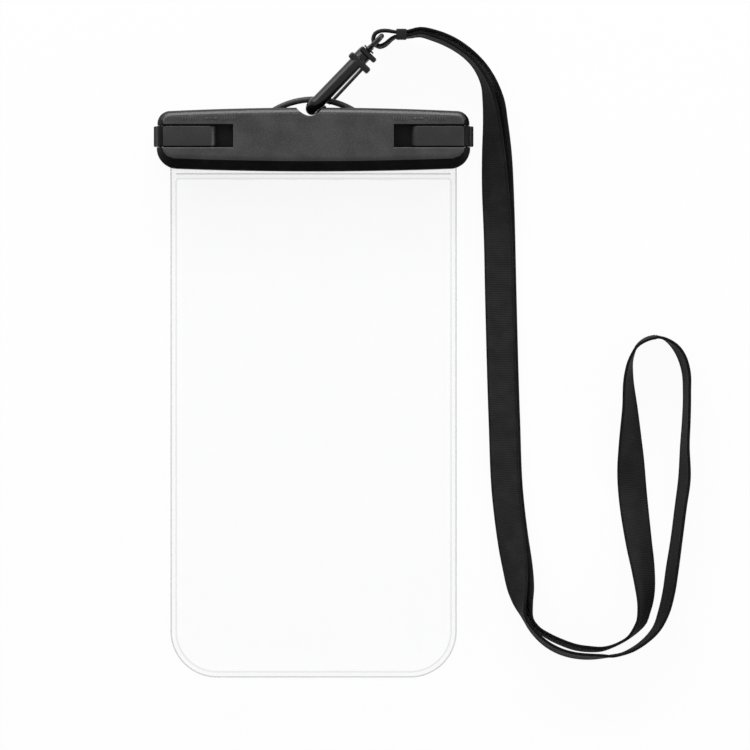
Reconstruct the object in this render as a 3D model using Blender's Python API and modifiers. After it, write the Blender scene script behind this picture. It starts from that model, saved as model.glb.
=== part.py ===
"""Waterproof phone case: a clear film bag, a snap clamp with two end levers, and a lanyard.

The case lies on its back: +Z is the front, +Y is the clamp's side, +X is the lanyard's side.
The origin is the middle of bag and clamp, on the surface that the case lies on. Metres.
"""

import math

import bmesh
import bpy
from mathutils import Matrix, Vector

MM = 0.001

# Clearance between pieces that touch or seat
GAP = 0.3 * MM

# Clamp outline, seen from the front
CLAMP_OVERHANG = 4.6 * MM
CLAMP_HEIGHT = 21.9 * MM
CLAMP_BOW_TOP = 1.4 * MM
CLAMP_BOW_BOTTOM = 1.2 * MM
CLAMP_CORNER_TOP = 4.4 * MM
CLAMP_CORNER_BOTTOM = 6.9 * MM
CLAMP_TAPER = 0.25 * MM

# Clamp depths, front to back
REAR_DEPTH = 7.0 * MM
FRONT_DEPTH = 9.7 * MM
SKIRT_LIFT = 1.2 * MM
END_SKIRT = 3.2 * MM

# Film bag
BAG_WIDTH = 98.8 * MM
BAG_LENGTH = 174.7 * MM
BAG_CORNER = 16.0 * MM
FILM = 0.3 * MM
WELD_WIDTH = 2.0 * MM
WELD_HEIGHT = 4.9 * MM
POCKET_DEPTH = 9.6 * MM
SHOULDER = 6.0 * MM
NECK_RISE = 4.2 * MM

# Lanyard arch and the notch beneath it
ARCH_RISE = 4.0 * MM
ARCH_HALF_SPAN = 12.4 * MM
ARCH_ROD = 2.1 * MM
ARCH_HEIGHT = 5.7 * MM
NOTCH_HALF_WIDTH = 6.2 * MM
NOTCH_DEPTH = 3.5 * MM

# Inner stack of the clamp: plates, film and seals
WALL = 3.6 * MM
NOTCH_WALL = 1.2 * MM
PLATE_THICKNESS = 1.6 * MM
SEAL_SHARE = 7 / 13
SEAL_INSET = 4.0 * MM
SEAL_BASE = 0.6 * MM
RIDGE_WIDTH = 1.2 * MM
RIDGE_HEIGHT = 0.9 * MM
GROOVE_PLAY = 0.6 * MM
GROOVE_ROOF = 0.4 * MM

# Hollow bays between ribs behind each plate
BAY_WIDTH = 11.5 * MM
RIB = 1.2 * MM
REAR_FLOOR = 1.8 * MM
FRONT_ROOF = 2.2 * MM

# End levers
LEVER_WIDTH = 7.1 * MM
LEVER_OFFSET = 1.1 * MM
LEVER_THICKNESS = 1.8 * MM
LEVER_LENGTH = 20.4 * MM
LEVER_BEND = 3.8 * MM
LEVER_CURL = 2.3 * MM
LEVER_TUCK = 0.3 * MM
KNUCKLE_RADIUS = 2.2 * MM
KNUCKLE_PROUD = 1.2 * MM
KNUCKLE_LIFT = 1.3 * MM
FINGER_GAP = 5.7 * MM
FINGER_DEPTH = 4.3 * MM
CHANNEL_CHAMFER = 0.35 * MM
PIN_RADIUS = 0.5 * MM
PIN_PLAY = 0.1 * MM
PIN_BITE = 1.8 * MM

# Snap hook, in its own frame: along its axis, across it, and up
HOOK_ANGLE = math.radians(46.0)
HOOK_TIP = Vector((-0.2 * MM, 96.5 * MM, 0.0))
SHANK_RADIUS = 2.15 * MM
SHANK_HEIGHT = 9.55 * MM
CROOK_START = 2.6 * MM
CROOK_REACH = 3.6 * MM
CROOK_DROP = 8.2 * MM
CROOK_SIDE = 2.6 * MM
CROOK_BULGE = 1.0 * MM
CROOK_RADIUS = 1.75 * MM
CROOK_END_RADIUS = 0.85 * MM
COLLAR_START = 21.0 * MM
COLLAR_LENGTH = 2.3 * MM
COLLAR_LOW = 0.9 * MM
COLLAR_HIGH = 11.7 * MM
COLLAR_LEFT = 3.6 * MM
COLLAR_RIGHT = 5.4 * MM
BOSS_RADIUS = 2.7 * MM
HEAD_START = 25.4 * MM
HEAD_LENGTH = 1.8 * MM
HEAD_LEFT = 2.5 * MM
HEAD_RIGHT = 4.5 * MM
HEAD_HALF_HEIGHT = 3.4 * MM
BORE_DEPTH = 5.6 * MM
GATE_RADIUS = 0.6 * MM
GATE_HEIGHT = 1.5 * MM
GATE_PIVOT_HEIGHT = 2.1 * MM
GATE_PIVOT_SIDE = 2.9 * MM
GATE_ROOT_RADIUS = 1.1 * MM
GATE_ROOT_WIDTH = 2.0 * MM
GATE_PIN_RADIUS = 0.45 * MM

# Swivel eye that the strap passes through
EYE_HEIGHT = 7.1 * MM
EYE_ROD = 1.7 * MM
EYE_OPENING = 10.6 * MM
EYE_LENGTH = 4.9 * MM
EYE_START = 29.2 * MM
STEM_RADIUS = 1.1 * MM
FLANGE_RADIUS = 2.1 * MM
FLANGE_THICKNESS = 0.6 * MM

# Strap
STRAP_WIDTH = 10.0 * MM
STRAP_THICKNESS = 1.0 * MM
STRAP_STEP = 12.0
STRAP_TWIST = 8.0
FLOOR_PLAY = 0.03 * MM
CRIMP_LENGTH = 3.6 * MM
CRIMP_THICKNESS = 3.6 * MM
CRIMP_HEIGHT = 11.2 * MM
CRIMP_X = 30.3 * MM
CRIMP_Y = 121.7 * MM

# Smoothness of round forms
EDGE_STEPS = 14
CORNER_STEPS = 5
ROUND_STEPS = 16

# Positions that follow from the sizes
TOTAL_LENGTH = BAG_LENGTH + CLAMP_HEIGHT + ARCH_RISE
BAG_END_Y = -TOTAL_LENGTH / 2
LIP_Y = BAG_END_Y + BAG_LENGTH
CLAMP_TOP_Y = LIP_Y + CLAMP_HEIGHT
ARCH_PEAK_Y = CLAMP_TOP_Y + ARCH_RISE
CLAMP_HALF = BAG_WIDTH / 2 + CLAMP_OVERHANG
REAR_HALF = CLAMP_HALF - END_SKIRT - GAP
FRONT_BACK = REAR_DEPTH + GAP
FRONT_FACE = FRONT_BACK + FRONT_DEPTH
FILM_HALF = BAG_WIDTH / 2
POCKET_HALF = FILM_HALF + GAP
PLATE_LOW_Y = LIP_Y + WALL + GAP
PLATE_HIGH_Y = CLAMP_TOP_Y - NOTCH_DEPTH - NOTCH_WALL - GAP
SEAL_WIDTH = SEAL_SHARE * (PLATE_HIGH_Y - PLATE_LOW_Y)

# Heights of the inner stack, worked outwards from the parting line
REAR_SEAL_BACK = REAR_DEPTH - SEAL_BASE
BACK_FILM_Z = REAR_SEAL_BACK - GAP - FILM / 2
REAR_PLATE_FRONT = BACK_FILM_Z - FILM / 2 - GAP
REAR_PLATE_BACK = REAR_PLATE_FRONT - PLATE_THICKNESS
FRONT_SEAL_FRONT = REAR_DEPTH + RIDGE_HEIGHT + GROOVE_ROOF + GROOVE_ROOF
NECK_FILM_Z = FRONT_SEAL_FRONT + GAP + FILM / 2
FRONT_PLATE_BACK = NECK_FILM_Z + FILM / 2 + GAP
FRONT_PLATE_FRONT = FRONT_PLATE_BACK + PLATE_THICKNESS

# Film heights at the pocket and at the clamp's lips
POCKET_BACK_Z = FILM / 2
POCKET_FRONT_Z = POCKET_BACK_Z + FILM + POCKET_DEPTH
LIP_BACK_Z = POCKET_BACK_Z + NECK_RISE
LIP_MIDDLE_Z = (LIP_BACK_Z + POCKET_FRONT_Z) / 2
SHEET_GAP = FILM + GAP

HINGE = Vector((0.0, LIP_Y, POCKET_FRONT_Z + FILM / 2 + 1.5 * GAP))
KNUCKLE = Vector((CLAMP_HALF + KNUCKLE_PROUD - KNUCKLE_RADIUS, 0.0, KNUCKLE_LIFT + KNUCKLE_RADIUS))
LEVER_TOP = FRONT_FACE - LEVER_TUCK
LEVER_LOW_Y = LIP_Y + (CLAMP_HEIGHT - LEVER_WIDTH) / 2 + LEVER_OFFSET
LEVER_HIGH_Y = LEVER_LOW_Y + LEVER_WIDTH
LEVER_INNER_END = CLAMP_HALF - LEVER_LENGTH
BAY_COUNT = int(2 * (LEVER_INNER_END - FINGER_GAP) / (BAY_WIDTH + RIB))
ROD_RADIUS = ARCH_ROD / 2
ROD_Y = ARCH_PEAK_Y - ROD_RADIUS

# Route of the strap's two strands, seen from the front: x and y in millimetres, and the lean
# in degrees from standing on edge, towards the left of the way it runs. The outer strand is
# outside at the first bend and ends on the left of the far loop; both ends meet at its top.
OUTER_ROUTE = (
    (32.4, 122.45, 2), (36.6, 123.2, 3), (41.9, 122.2, 4), (49.0, 119.3, 5), (54.9, 115.0, 6),
    (58.9, 110.8, 7), (61.9, 105.7, 10), (63.5, 99.2, 24), (64.0, 91.4, 36), (64.4, 81.8, 50),
    (64.5, 68.0, 68), (64.7, 54.2, 80), (65.2, 30.0, 84), (66.4, -11.7, 84), (67.5, -36.9, 82),
    (69.6, -53.5, 74), (71.5, -63.1, 58), (72.9, -70.4, 40), (73.8, -75.6, 20), (75.1, -80.3, 6),
    (77.5, -83.6, 7), (80.9, -85.9, 9), (85.7, -88.2, 10), (90.7, -89.9, 10), (95.4, -90.5, 9),
    (99.5, -90.5, 6), (102.6, -89.7, 3), (105.4, -88.5, 2), (108.7, -86.5, 3), (111.5, -83.5, 12),
    (113.3, -80.7, 20), (114.0, -77.6, 25), (114.5, -72.8, 36), (114.4, -69.0, 44),
    (113.8, -63.1, 53), (112.3, -53.5, 66), (109.9, -32.8, 82), (109.4, -19.7, 54),
    (109.2, -7.6, 31), (108.8, 4.5, 15), (109.3, 8.6, 8), (110.3, 11.6, 3), (111.5, 13.9, 0),
    (114.6, 16.3, -4), (117.8, 17.2, -4),
)
INNER_ROUTE = (
    (32.4, 121.0, 2), (36.6, 121.7, 3), (41.5, 120.4, 4), (48.2, 117.4, 5), (52.3, 114.6, 7),
    (55.6, 111.4, 9), (58.1, 107.5, 12), (59.7, 103.8, 17), (60.6, 99.8, 24), (61.6, 91.4, 36),
    (62.1, 81.8, 50), (62.8, 68.0, 68), (63.6, 54.2, 80), (64.2, 30.0, 84), (65.4, -11.7, 84),
    (66.5, -36.9, 82), (68.4, -53.5, 74), (69.7, -63.1, 58), (70.5, -70.4, 40),
    (71.3, -74.6, 24), (72.5, -79.0, 6), (75.6, -84.0, 7), (79.9, -88.3, 9), (85.0, -91.2, 10),
    (89.9, -92.6, 10), (95.4, -93.1, 9), (99.8, -93.0, 5), (103.0, -92.9, 0), (106.5, -92.2, 0),
    (109.9, -90.8, -3), (114.0, -88.1, -6), (118.5, -83.3, -12), (121.0, -77.5, -19),
    (122.6, -71.1, -21), (123.8, -63.1, -22), (125.2, -53.5, -20), (126.8, -41.1, -20),
    (128.0, -32.1, -21), (128.2, -19.7, -14), (128.7, -11.0, -12), (128.9, -2.4, -11),
    (128.5, 5.9, -13), (127.1, 10.4, -13), (125.2, 13.5, -10), (122.8, 15.7, -4),
    (120.7, 16.9, 0), (118.4, 17.2, 4),
)
EYE_LOOP_ROUTE = (
    (28.2, 122.5, 0), (25.9, 122.9, 0), (23.3, 122.9, 0), (21.3, 122.0, 0), (20.6, 120.2, 0),
    (21.1, 118.4, 0), (22.8, 117.5, 0), (24.9, 118.3, 0), (26.7, 119.9, 0), (28.2, 120.8, 0),
)

BLACK_ABS = ("black_abs", (0.030, 0.030, 0.032), 0.45)
BLACK_POM = ("black_pom", (0.012, 0.012, 0.013), 0.22)
BLACK_RIBBON = ("black_ribbon", (0.022, 0.022, 0.023), 0.85)
CLEAR_FILM = ("clear_film", (0.92, 0.94, 0.95), 0.08)
DARK_SILICONE = ("dark_silicone", (0.050, 0.050, 0.052), 0.55)
STEEL = ("steel", (0.60, 0.60, 0.61), 0.25)


def clear_scene():
    for old in list(bpy.data.objects):
        bpy.data.objects.remove(old, do_unlink=True)


def make_collection(name):
    collection = bpy.data.collections.new(name)
    bpy.context.scene.collection.children.link(collection)
    return collection


def material(finish):
    name, color, roughness = finish
    if name in bpy.data.materials:
        return bpy.data.materials[name]
    made = bpy.data.materials.new(name)
    made.use_nodes = True
    shader = made.node_tree.nodes["Principled BSDF"]
    shader.inputs["Base Color"].default_value = (*color, 1.0)
    shader.inputs["Roughness"].default_value = roughness
    shader.inputs["Metallic"].default_value = 1.0 if finish is STEEL else 0.0
    if finish is CLEAR_FILM:
        shader.inputs["Alpha"].default_value = 0.25
    return made


def add_object(name, mesh, collection, finish=None):
    made = bpy.data.objects.new(name, mesh)
    collection.objects.link(made)
    if finish:
        own = material(finish).copy()
        own.name = f"{name}_finish"
        mesh.materials.append(own)
    return made


def mesh_from(build, name):
    """A mesh filled by a function that works on a bmesh."""
    shape = bmesh.new()
    build(shape)
    shape.normal_update()
    bmesh.ops.recalc_face_normals(shape, faces=shape.faces[:])
    mesh = bpy.data.meshes.new(name)
    shape.to_mesh(mesh)
    shape.free()
    return mesh


def box_mesh(name, low, high):
    low, high = Vector(low), Vector(high)

    def build(shape):
        bmesh.ops.create_cube(shape, size=1.0)
        size = Matrix.Diagonal((*(high - low), 1.0))
        shape.transform(Matrix.Translation((low + high) / 2) @ size)

    return mesh_from(build, name)


def cylinder_mesh(name, start, end, radius, segments=24):
    start, end = Vector(start), Vector(end)

    def build(shape):
        bmesh.ops.create_cone(
            shape, cap_ends=True, segments=segments,
            radius1=radius, radius2=radius, depth=(end - start).length,
        )
        turn = (end - start).to_track_quat("Z", "Y").to_matrix().to_4x4()
        shape.transform(Matrix.Translation((start + end) / 2) @ turn)

    return mesh_from(build, name)


def prism_mesh(name, outline, start, along):
    """A flat outline, given as points in space, pushed along a vector."""

    def build(shape):
        corners = [shape.verts.new(Vector(start) + Vector(point)) for point in outline]
        face = shape.faces.new(corners)
        pushed = bmesh.ops.extrude_face_region(shape, geom=[face])
        moved = [item for item in pushed["geom"] if isinstance(item, bmesh.types.BMVert)]
        bmesh.ops.translate(shape, verts=moved, vec=Vector(along))

    return mesh_from(build, name)


def loft_mesh(name, rings):
    """A closed body through rings of equal point counts, capped at both ends."""

    def build(shape):
        rows = [[shape.verts.new(point) for point in ring] for ring in rings]
        for lower, upper in zip(rows, rows[1:]):
            for i, corner in enumerate(lower):
                following = (i + 1) % len(lower)
                shape.faces.new((corner, lower[following], upper[following], upper[i]))
        shape.faces.new(rows[0][::-1])
        shape.faces.new(rows[-1])

    return mesh_from(build, name)


def arc(center, radius, start, end, steps):
    """Points of a circular arc in a plane, angles in degrees."""
    angles = [math.radians(start + (end - start) * i / steps) for i in range(steps + 1)]
    return [(center[0] + radius * math.cos(a), center[1] + radius * math.sin(a)) for a in angles]


def boolean(target, cutters, operation="DIFFERENCE"):
    for cutter in cutters:
        cut = target.modifiers.new(f"{operation.lower()}_{cutter.name}", "BOOLEAN")
        cut.operation = operation
        cut.object = cutter
        cut.solver = "EXACT"


def add_bevel(target, width, segments=2, angle=40.0):
    bevel = target.modifiers.new("edge", "BEVEL")
    bevel.width = width
    bevel.segments = segments
    bevel.limit_method = "ANGLE"
    bevel.angle_limit = math.radians(angle)


def shade(target, angle=35.0):
    target.data.shade_smooth()
    target.data.set_sharp_from_angle(angle=math.radians(angle))


def put_origin(target, point):
    """Moves an object's origin to a point, with its shape left where it is."""
    target.data.transform(Matrix.Translation(-Vector(point)))
    target.location = point


def curve_mesh(name, points, radii, collection, cyclic=False):
    """A swept round bar as a mesh, with a radius of its own at each point."""
    data = bpy.data.curves.new(name, "CURVE")
    data.dimensions = "3D"
    data.bevel_depth = 1.0
    data.bevel_resolution = 2
    data.use_fill_caps = True
    spline = data.splines.new("POLY")
    spline.points.add(len(points) - 1)
    for spot, place, radius in zip(spline.points, points, radii):
        spot.co = (*place, 1.0)
        spot.radius = radius
    spline.use_cyclic_u = cyclic
    guide = bpy.data.objects.new(name, data)
    collection.objects.link(guide)
    bpy.context.view_layer.update()
    evaluated = guide.evaluated_get(bpy.context.evaluated_depsgraph_get())
    mesh = bpy.data.meshes.new_from_object(evaluated)
    bpy.data.objects.remove(guide, do_unlink=True)

    shape = bmesh.new()
    shape.from_mesh(mesh)
    bmesh.ops.remove_doubles(shape, verts=shape.verts[:], dist=0.001 * MM)
    shape.normal_update()
    bmesh.ops.recalc_face_normals(shape, faces=shape.faces[:])
    shape.to_mesh(mesh)
    shape.free()
    return mesh


def smoothstep(value):
    value = min(max(value, 0.0), 1.0)
    return value * value * (3 - 2 * value)


def clamp_ring(z, inset_low=0.0, inset_high=0.0, inset_end=0.0):
    """The clamp's bowed outline at one height, drawn in from each edge."""
    half = CLAMP_HALF - inset_end
    radius_low = max(CLAMP_CORNER_BOTTOM - (inset_low + inset_end) / 2, 2 * MM)
    radius_high = max(CLAMP_CORNER_TOP - (inset_high + inset_end) / 2, 2 * MM)

    def low(x):
        return LIP_Y + inset_low + CLAMP_BOW_BOTTOM * (x / CLAMP_HALF) ** 2

    def high(x):
        return CLAMP_TOP_Y - inset_high - CLAMP_BOW_TOP * (x / CLAMP_HALF) ** 2

    run_low, run_high = half - radius_low, half - CLAMP_TAPER - radius_high
    steps = [-1 + 2 * i / EDGE_STEPS for i in range(EDGE_STEPS + 1)]
    middle_low = low(run_low) + radius_low
    middle_high = high(run_high) - radius_high
    outline = [(run_low * s, low(run_low * s)) for s in steps]
    outline += arc((run_low, middle_low), radius_low, -90, 0, CORNER_STEPS)[1:]
    outline += arc((run_high, middle_high), radius_high, 0, 90, CORNER_STEPS)
    outline += [(-run_high * s, high(run_high * s)) for s in steps][1:]
    outline += arc((-run_high, middle_high), radius_high, 90, 180, CORNER_STEPS)[1:]
    outline += arc((-run_low, middle_low), radius_low, 180, 270, CORNER_STEPS)[:-1]
    return [(x, y, z) for x, y in outline]


def notch_cutter(collection):
    """The scoop in the top edge, under the lanyard arch, through both halves."""
    radius = (NOTCH_HALF_WIDTH**2 + NOTCH_DEPTH**2) / (2 * NOTCH_DEPTH)
    middle = CLAMP_TOP_Y - NOTCH_DEPTH + radius
    mesh = cylinder_mesh(
        "notch", (0, middle, -MM), (0, middle, FRONT_FACE + MM), radius, 3 * ROUND_STEPS
    )
    return add_object("notch", mesh, collection)


def bay_cutters(name, low_z, high_z, collection):
    """Hollow bays in a row, with a rib between neighbours."""
    pitch = BAY_WIDTH + RIB
    first = -pitch * (BAY_COUNT - 1) / 2
    made = []
    for i in range(BAY_COUNT):
        x = first + i * pitch
        mesh = box_mesh(
            f"{name}_{i}",
            (x - BAY_WIDTH / 2, PLATE_LOW_Y + RIB, low_z),
            (x + BAY_WIDTH / 2, PLATE_HIGH_Y - RIB, high_z),
        )
        made.append(add_object(f"{name}_{i}", mesh, collection))
    return made


def lip_cutter(name, lip_z, inner_z, far_z, collection):
    """The wedge that leaves the film its way out of the clamp's lower edge."""
    outer_y, inner_y = LIP_Y - 2 * MM, PLATE_LOW_Y
    slope = (inner_z - lip_z) / (inner_y - LIP_Y)
    outline = (
        (0, outer_y, lip_z + slope * (outer_y - LIP_Y)),
        (0, inner_y, inner_z),
        (0, inner_y, far_z),
        (0, outer_y, far_z),
    )
    mesh = prism_mesh(name, outline, (-POCKET_HALF, 0, 0), (2 * POCKET_HALF, 0, 0))
    return add_object(name, mesh, collection)


def pocket_cutter(name, low_z, high_z, collection):
    """The recess that a plate, the film and a seal lie in."""
    mesh = box_mesh(
        name,
        (-POCKET_HALF, PLATE_LOW_Y - GAP, low_z),
        (POCKET_HALF, PLATE_HIGH_Y + GAP, high_z),
    )
    return add_object(name, mesh, collection)


def arch_mesh(collection):
    """The lanyard arch: a bent rod whose ends run into the rear shell's top edge."""
    rise = ROD_Y - CLAMP_TOP_Y + CLAMP_BOW_TOP * (ARCH_HALF_SPAN / CLAMP_HALF) ** 2
    radius = (ARCH_HALF_SPAN**2 + rise**2) / (2 * rise)
    middle_y = ROD_Y - radius
    reach = math.degrees(math.asin((ARCH_HALF_SPAN + 2 * ARCH_ROD) / radius))
    path = arc((0, middle_y), radius, 90 + reach, 90 - reach, ROUND_STEPS)
    points = [(x, y, ARCH_HEIGHT) for x, y in path]
    return curve_mesh("arch", points, [ROD_RADIUS] * len(points), collection)


def make_rear_shell(parts, cutters):
    rings = [
        clamp_ring(0.0, 3.0 * MM, 3.0 * MM, 2.6 * MM),
        clamp_ring(0.0, 2.4 * MM, 2.4 * MM, 2.0 * MM),
        clamp_ring(0.5 * MM, 1.1 * MM, 1.1 * MM, 1.0 * MM),
        clamp_ring(1.3 * MM, 0.4 * MM, 0.4 * MM, 0.4 * MM),
        clamp_ring(2.4 * MM),
        clamp_ring(REAR_DEPTH),
    ]
    shell = add_object("rear_shell", loft_mesh("rear_shell", rings), parts, BLACK_ABS)
    tools = []
    for side in (-1, 1):
        low_x, high_x = sorted((side * REAR_HALF, side * (CLAMP_HALF + MM)))
        mesh = box_mesh(
            "end", (low_x, LIP_Y - MM, -MM), (high_x, CLAMP_TOP_Y + MM, REAR_DEPTH + MM)
        )
        tools.append(add_object(f"rear_end_{side}", mesh, cutters))
    tools.append(pocket_cutter("rear_pocket", REAR_PLATE_BACK - GAP, REAR_DEPTH + MM, cutters))
    lip = LIP_BACK_Z - FILM / 2 - GAP
    inner = REAR_PLATE_FRONT
    tools.append(lip_cutter("rear_lip", lip, inner, REAR_DEPTH + MM, cutters))
    tools += bay_cutters("rear_bay", REAR_FLOOR, REAR_PLATE_FRONT, cutters)
    tools.append(notch_cutter(cutters))
    boolean(shell, tools)
    arch = add_object("arch", arch_mesh(cutters), cutters)
    boolean(shell, [arch], "UNION")
    shade(shell)
    return shell


def front_shell_rings():
    """Skirt, side wall, sloping lower band and crowned face, from back to front."""
    band = FRONT_FACE - FRONT_BACK
    start = HINGE.z + 0.45 * MM
    slope = FRONT_FACE - start
    return [
        clamp_ring(SKIRT_LIFT, 0.7 * MM, 0.7 * MM, 0.7 * MM),
        clamp_ring(SKIRT_LIFT + 0.7 * MM),
        clamp_ring(start),
        clamp_ring(start + 0.45 * slope, 0.15 * MM),
        clamp_ring(FRONT_FACE - 0.1 * band, 2.4 * MM, 0.4 * MM, 1.1 * MM),
        clamp_ring(FRONT_FACE - 0.035 * band, 3.1 * MM, 1.2 * MM, 1.5 * MM),
        clamp_ring(FRONT_FACE, 3.6 * MM, 1.8 * MM, 1.9 * MM),
        clamp_ring(FRONT_FACE, 4.2 * MM, 2.4 * MM, 2.5 * MM),
    ]


def lever_room_outline():
    """Section of the channel, finger recess and end slot that a lever lies in."""
    floor = LEVER_TOP - LEVER_THICKNESS - GAP
    end_x = CLAMP_HALF - LEVER_THICKNESS - GAP
    inner_x = LEVER_INNER_END - FINGER_GAP
    step_x = LEVER_INNER_END + LEVER_CURL
    bend = LEVER_BEND - LEVER_THICKNESS - GAP
    outline = [(inner_x, FRONT_FACE + MM), (inner_x, FRONT_FACE - FINGER_DEPTH)]
    outline += [(step_x - 0.2 * MM, FRONT_FACE - FINGER_DEPTH), (step_x + 0.2 * MM, floor)]
    outline += arc((end_x - bend, floor - bend), bend, 90, 0, 4)
    outline += [(end_x, FRONT_BACK + MM), (end_x - 2 * MM, FRONT_BACK - MM)]
    outline += [(end_x - 2 * MM, -MM), (CLAMP_HALF + 3 * MM, -MM)]
    outline += [(CLAMP_HALF + 3 * MM, FRONT_FACE + MM)]
    return outline


def chamfer_cutter(name, side, collection):
    """The slanted edge round the top of a lever's channel."""
    inner_x = side * (LEVER_INNER_END - FINGER_GAP)
    outer_x = side * (CLAMP_HALF + MM)
    rings = []
    for z, spread in ((FRONT_FACE - CHANNEL_CHAMFER, 0.0), (FRONT_FACE + MM, CHANNEL_CHAMFER + MM)):
        low_y = LEVER_LOW_Y - GAP - spread
        high_y = LEVER_HIGH_Y + GAP + spread
        near_x = inner_x - side * spread
        rings.append([(near_x, low_y, z), (outer_x, low_y, z), (outer_x, high_y, z), (near_x, high_y, z)])
    return add_object(name, loft_mesh(name, rings), collection)


def make_front_shell(parts, cutters):
    mesh = loft_mesh("front_shell", front_shell_rings())
    shell = add_object("front_shell", mesh, parts, BLACK_ABS)
    tools = []
    rear_room = box_mesh(
        "rear_room",
        (-REAR_HALF - GAP, LIP_Y - MM, -MM),
        (REAR_HALF + GAP, CLAMP_TOP_Y + MM, FRONT_BACK),
    )
    tools.append(add_object("rear_room", rear_room, cutters))
    tools.append(
        pocket_cutter("front_pocket", REAR_DEPTH - MM, FRONT_PLATE_FRONT + GAP, cutters)
    )
    lip = POCKET_FRONT_Z + FILM / 2 + GAP
    tools.append(lip_cutter("front_lip", lip + 0.3 * MM, FRONT_PLATE_BACK, REAR_DEPTH - MM, cutters))
    tools += bay_cutters("front_bay", FRONT_PLATE_BACK, FRONT_FACE - FRONT_ROOF, cutters)
    tools.append(bpy.data.objects["notch"])
    for side in (-1, 1):
        outline = [(side * x, 0, z) for x, z in lever_room_outline()]
        room = prism_mesh(
            "lever_room", outline, (0, LEVER_LOW_Y - GAP, 0), (0, LEVER_WIDTH + 2 * GAP, 0)
        )
        tools.append(add_object(f"lever_room_{side}", room, cutters))
        tools.append(chamfer_cutter(f"channel_chamfer_{side}", side, cutters))
        bore = cylinder_mesh(
            "bore",
            (side * KNUCKLE.x, LEVER_LOW_Y - PIN_BITE - 2 * GAP, KNUCKLE.z),
            (side * KNUCKLE.x, LEVER_HIGH_Y + PIN_BITE / 2 + GAP, KNUCKLE.z),
            PIN_RADIUS + PIN_PLAY,
            ROUND_STEPS,
        )
        tools.append(add_object(f"skirt_bore_{side}", bore, cutters))
    boolean(shell, tools)
    shade(shell)
    put_origin(shell, HINGE)
    return shell


def make_plate(name, low_z, high_z, parts):
    mesh = box_mesh(
        name,
        (-POCKET_HALF + GAP, PLATE_LOW_Y, low_z),
        (POCKET_HALF - GAP, PLATE_HIGH_Y, high_z),
    )
    plate = add_object(name, mesh, parts, BLACK_ABS)
    add_bevel(plate, 0.4 * MM, 1)
    return plate


def stadium(half_length, half_width, z, steps=6):
    """A long outline with round ends, centred on the seal's line."""
    middle_y = (PLATE_LOW_Y + PLATE_HIGH_Y) / 2
    run = half_length - half_width
    points = arc((run, middle_y), half_width, -90, 90, steps)
    points += arc((-run, middle_y), half_width, 90, 270, steps)
    return [(x, y, z) for x, y in points]


def make_seals(parts, cutters):
    """A ridged strip in the rear half and a grooved strip in the front half."""
    half = FILM_HALF - SEAL_INSET
    base = stadium(half, SEAL_WIDTH / 2, REAR_SEAL_BACK)
    rear = add_object(
        "rear_seal", prism_mesh("rear_seal", base, (0, 0, 0), (0, 0, SEAL_BASE)),
        parts, DARK_SILICONE,
    )
    ridge_half = half - SEAL_WIDTH / 2 + RIDGE_WIDTH / 2
    ridge = stadium(ridge_half, RIDGE_WIDTH / 2, REAR_SEAL_BACK + SEAL_BASE / 2)
    height = SEAL_BASE / 2 + RIDGE_HEIGHT
    ridge_mesh = prism_mesh("seal_ridge", ridge, (0, 0, 0), (0, 0, height))
    boolean(rear, [add_object("seal_ridge", ridge_mesh, cutters)], "UNION")

    thickness = FRONT_SEAL_FRONT - FRONT_BACK
    base = stadium(half, SEAL_WIDTH / 2, FRONT_BACK)
    front = add_object(
        "front_seal", prism_mesh("front_seal", base, (0, 0, 0), (0, 0, thickness)),
        parts, DARK_SILICONE,
    )
    groove = stadium(
        ridge_half + GROOVE_PLAY, RIDGE_WIDTH / 2 + GROOVE_PLAY, REAR_DEPTH
    )
    depth = RIDGE_HEIGHT + GROOVE_ROOF
    groove_mesh = prism_mesh("seal_groove", groove, (0, 0, 0), (0, 0, depth))
    boolean(front, [add_object("seal_groove", groove_mesh, cutters)])
    put_origin(front, HINGE)


def pocket_fill(x, y):
    """How far the pocket is filled out at a place: 0 on the weld, 1 over the flat part."""
    half = FILM_HALF - WELD_WIDTH
    corner = BAG_CORNER - WELD_WIDTH
    low = BAG_END_Y + WELD_WIDTH
    across = abs(x) - (half - corner)
    down = (low + corner) - y
    if across > 0 and down > 0:
        inside = corner - math.hypot(across, down)
    else:
        inside = min(half - abs(x), y - low)
    return smoothstep(inside / SHOULDER)


def sheet_height(side, x, y):
    """Height of the front (1) or back (-1) sheet's middle at a place."""
    neck = smoothstep((y - (LIP_Y - 22 * MM)) / (22 * MM))
    weld = WELD_HEIGHT + (LIP_MIDDLE_Z - WELD_HEIGHT) * neck + side * SHEET_GAP / 2
    if side > 0:
        flat = POCKET_FRONT_Z
    else:
        rise = smoothstep((y - (LIP_Y - 8 * MM)) / (8 * MM))
        flat = POCKET_BACK_Z + NECK_RISE * rise
    height = weld + (flat - weld) * pocket_fill(x, min(y, LIP_Y))
    inner = NECK_FILM_Z if side > 0 else BACK_FILM_Z
    return height + (inner - height) * smoothstep((y - LIP_Y) / (WALL + GAP))


def bag_rows(start_y, end_y):
    """Half width of the bag at rows along its length, close together at its corners."""
    rows = []
    for i in range(7):
        turn = math.radians(15 * i)
        y = BAG_END_Y + BAG_CORNER * (1 - math.cos(turn))
        rows.append((FILM_HALF - BAG_CORNER * (1 - math.sin(turn)), y))
    run = LIP_Y - 24 * MM - (BAG_END_Y + BAG_CORNER)
    rows += [(FILM_HALF, BAG_END_Y + BAG_CORNER + run * i / 6) for i in range(1, 7)]
    for offset in (-18, -13, -9, -7, -5, -3, -1.2, -0.3, 0.1, 1.4, 2.8, 4.2, 10):
        rows.append((FILM_HALF, LIP_Y + offset * MM))
    rows.append((FILM_HALF, PLATE_HIGH_Y))
    return [row for row in rows if start_y <= row[1] <= end_y]


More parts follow.
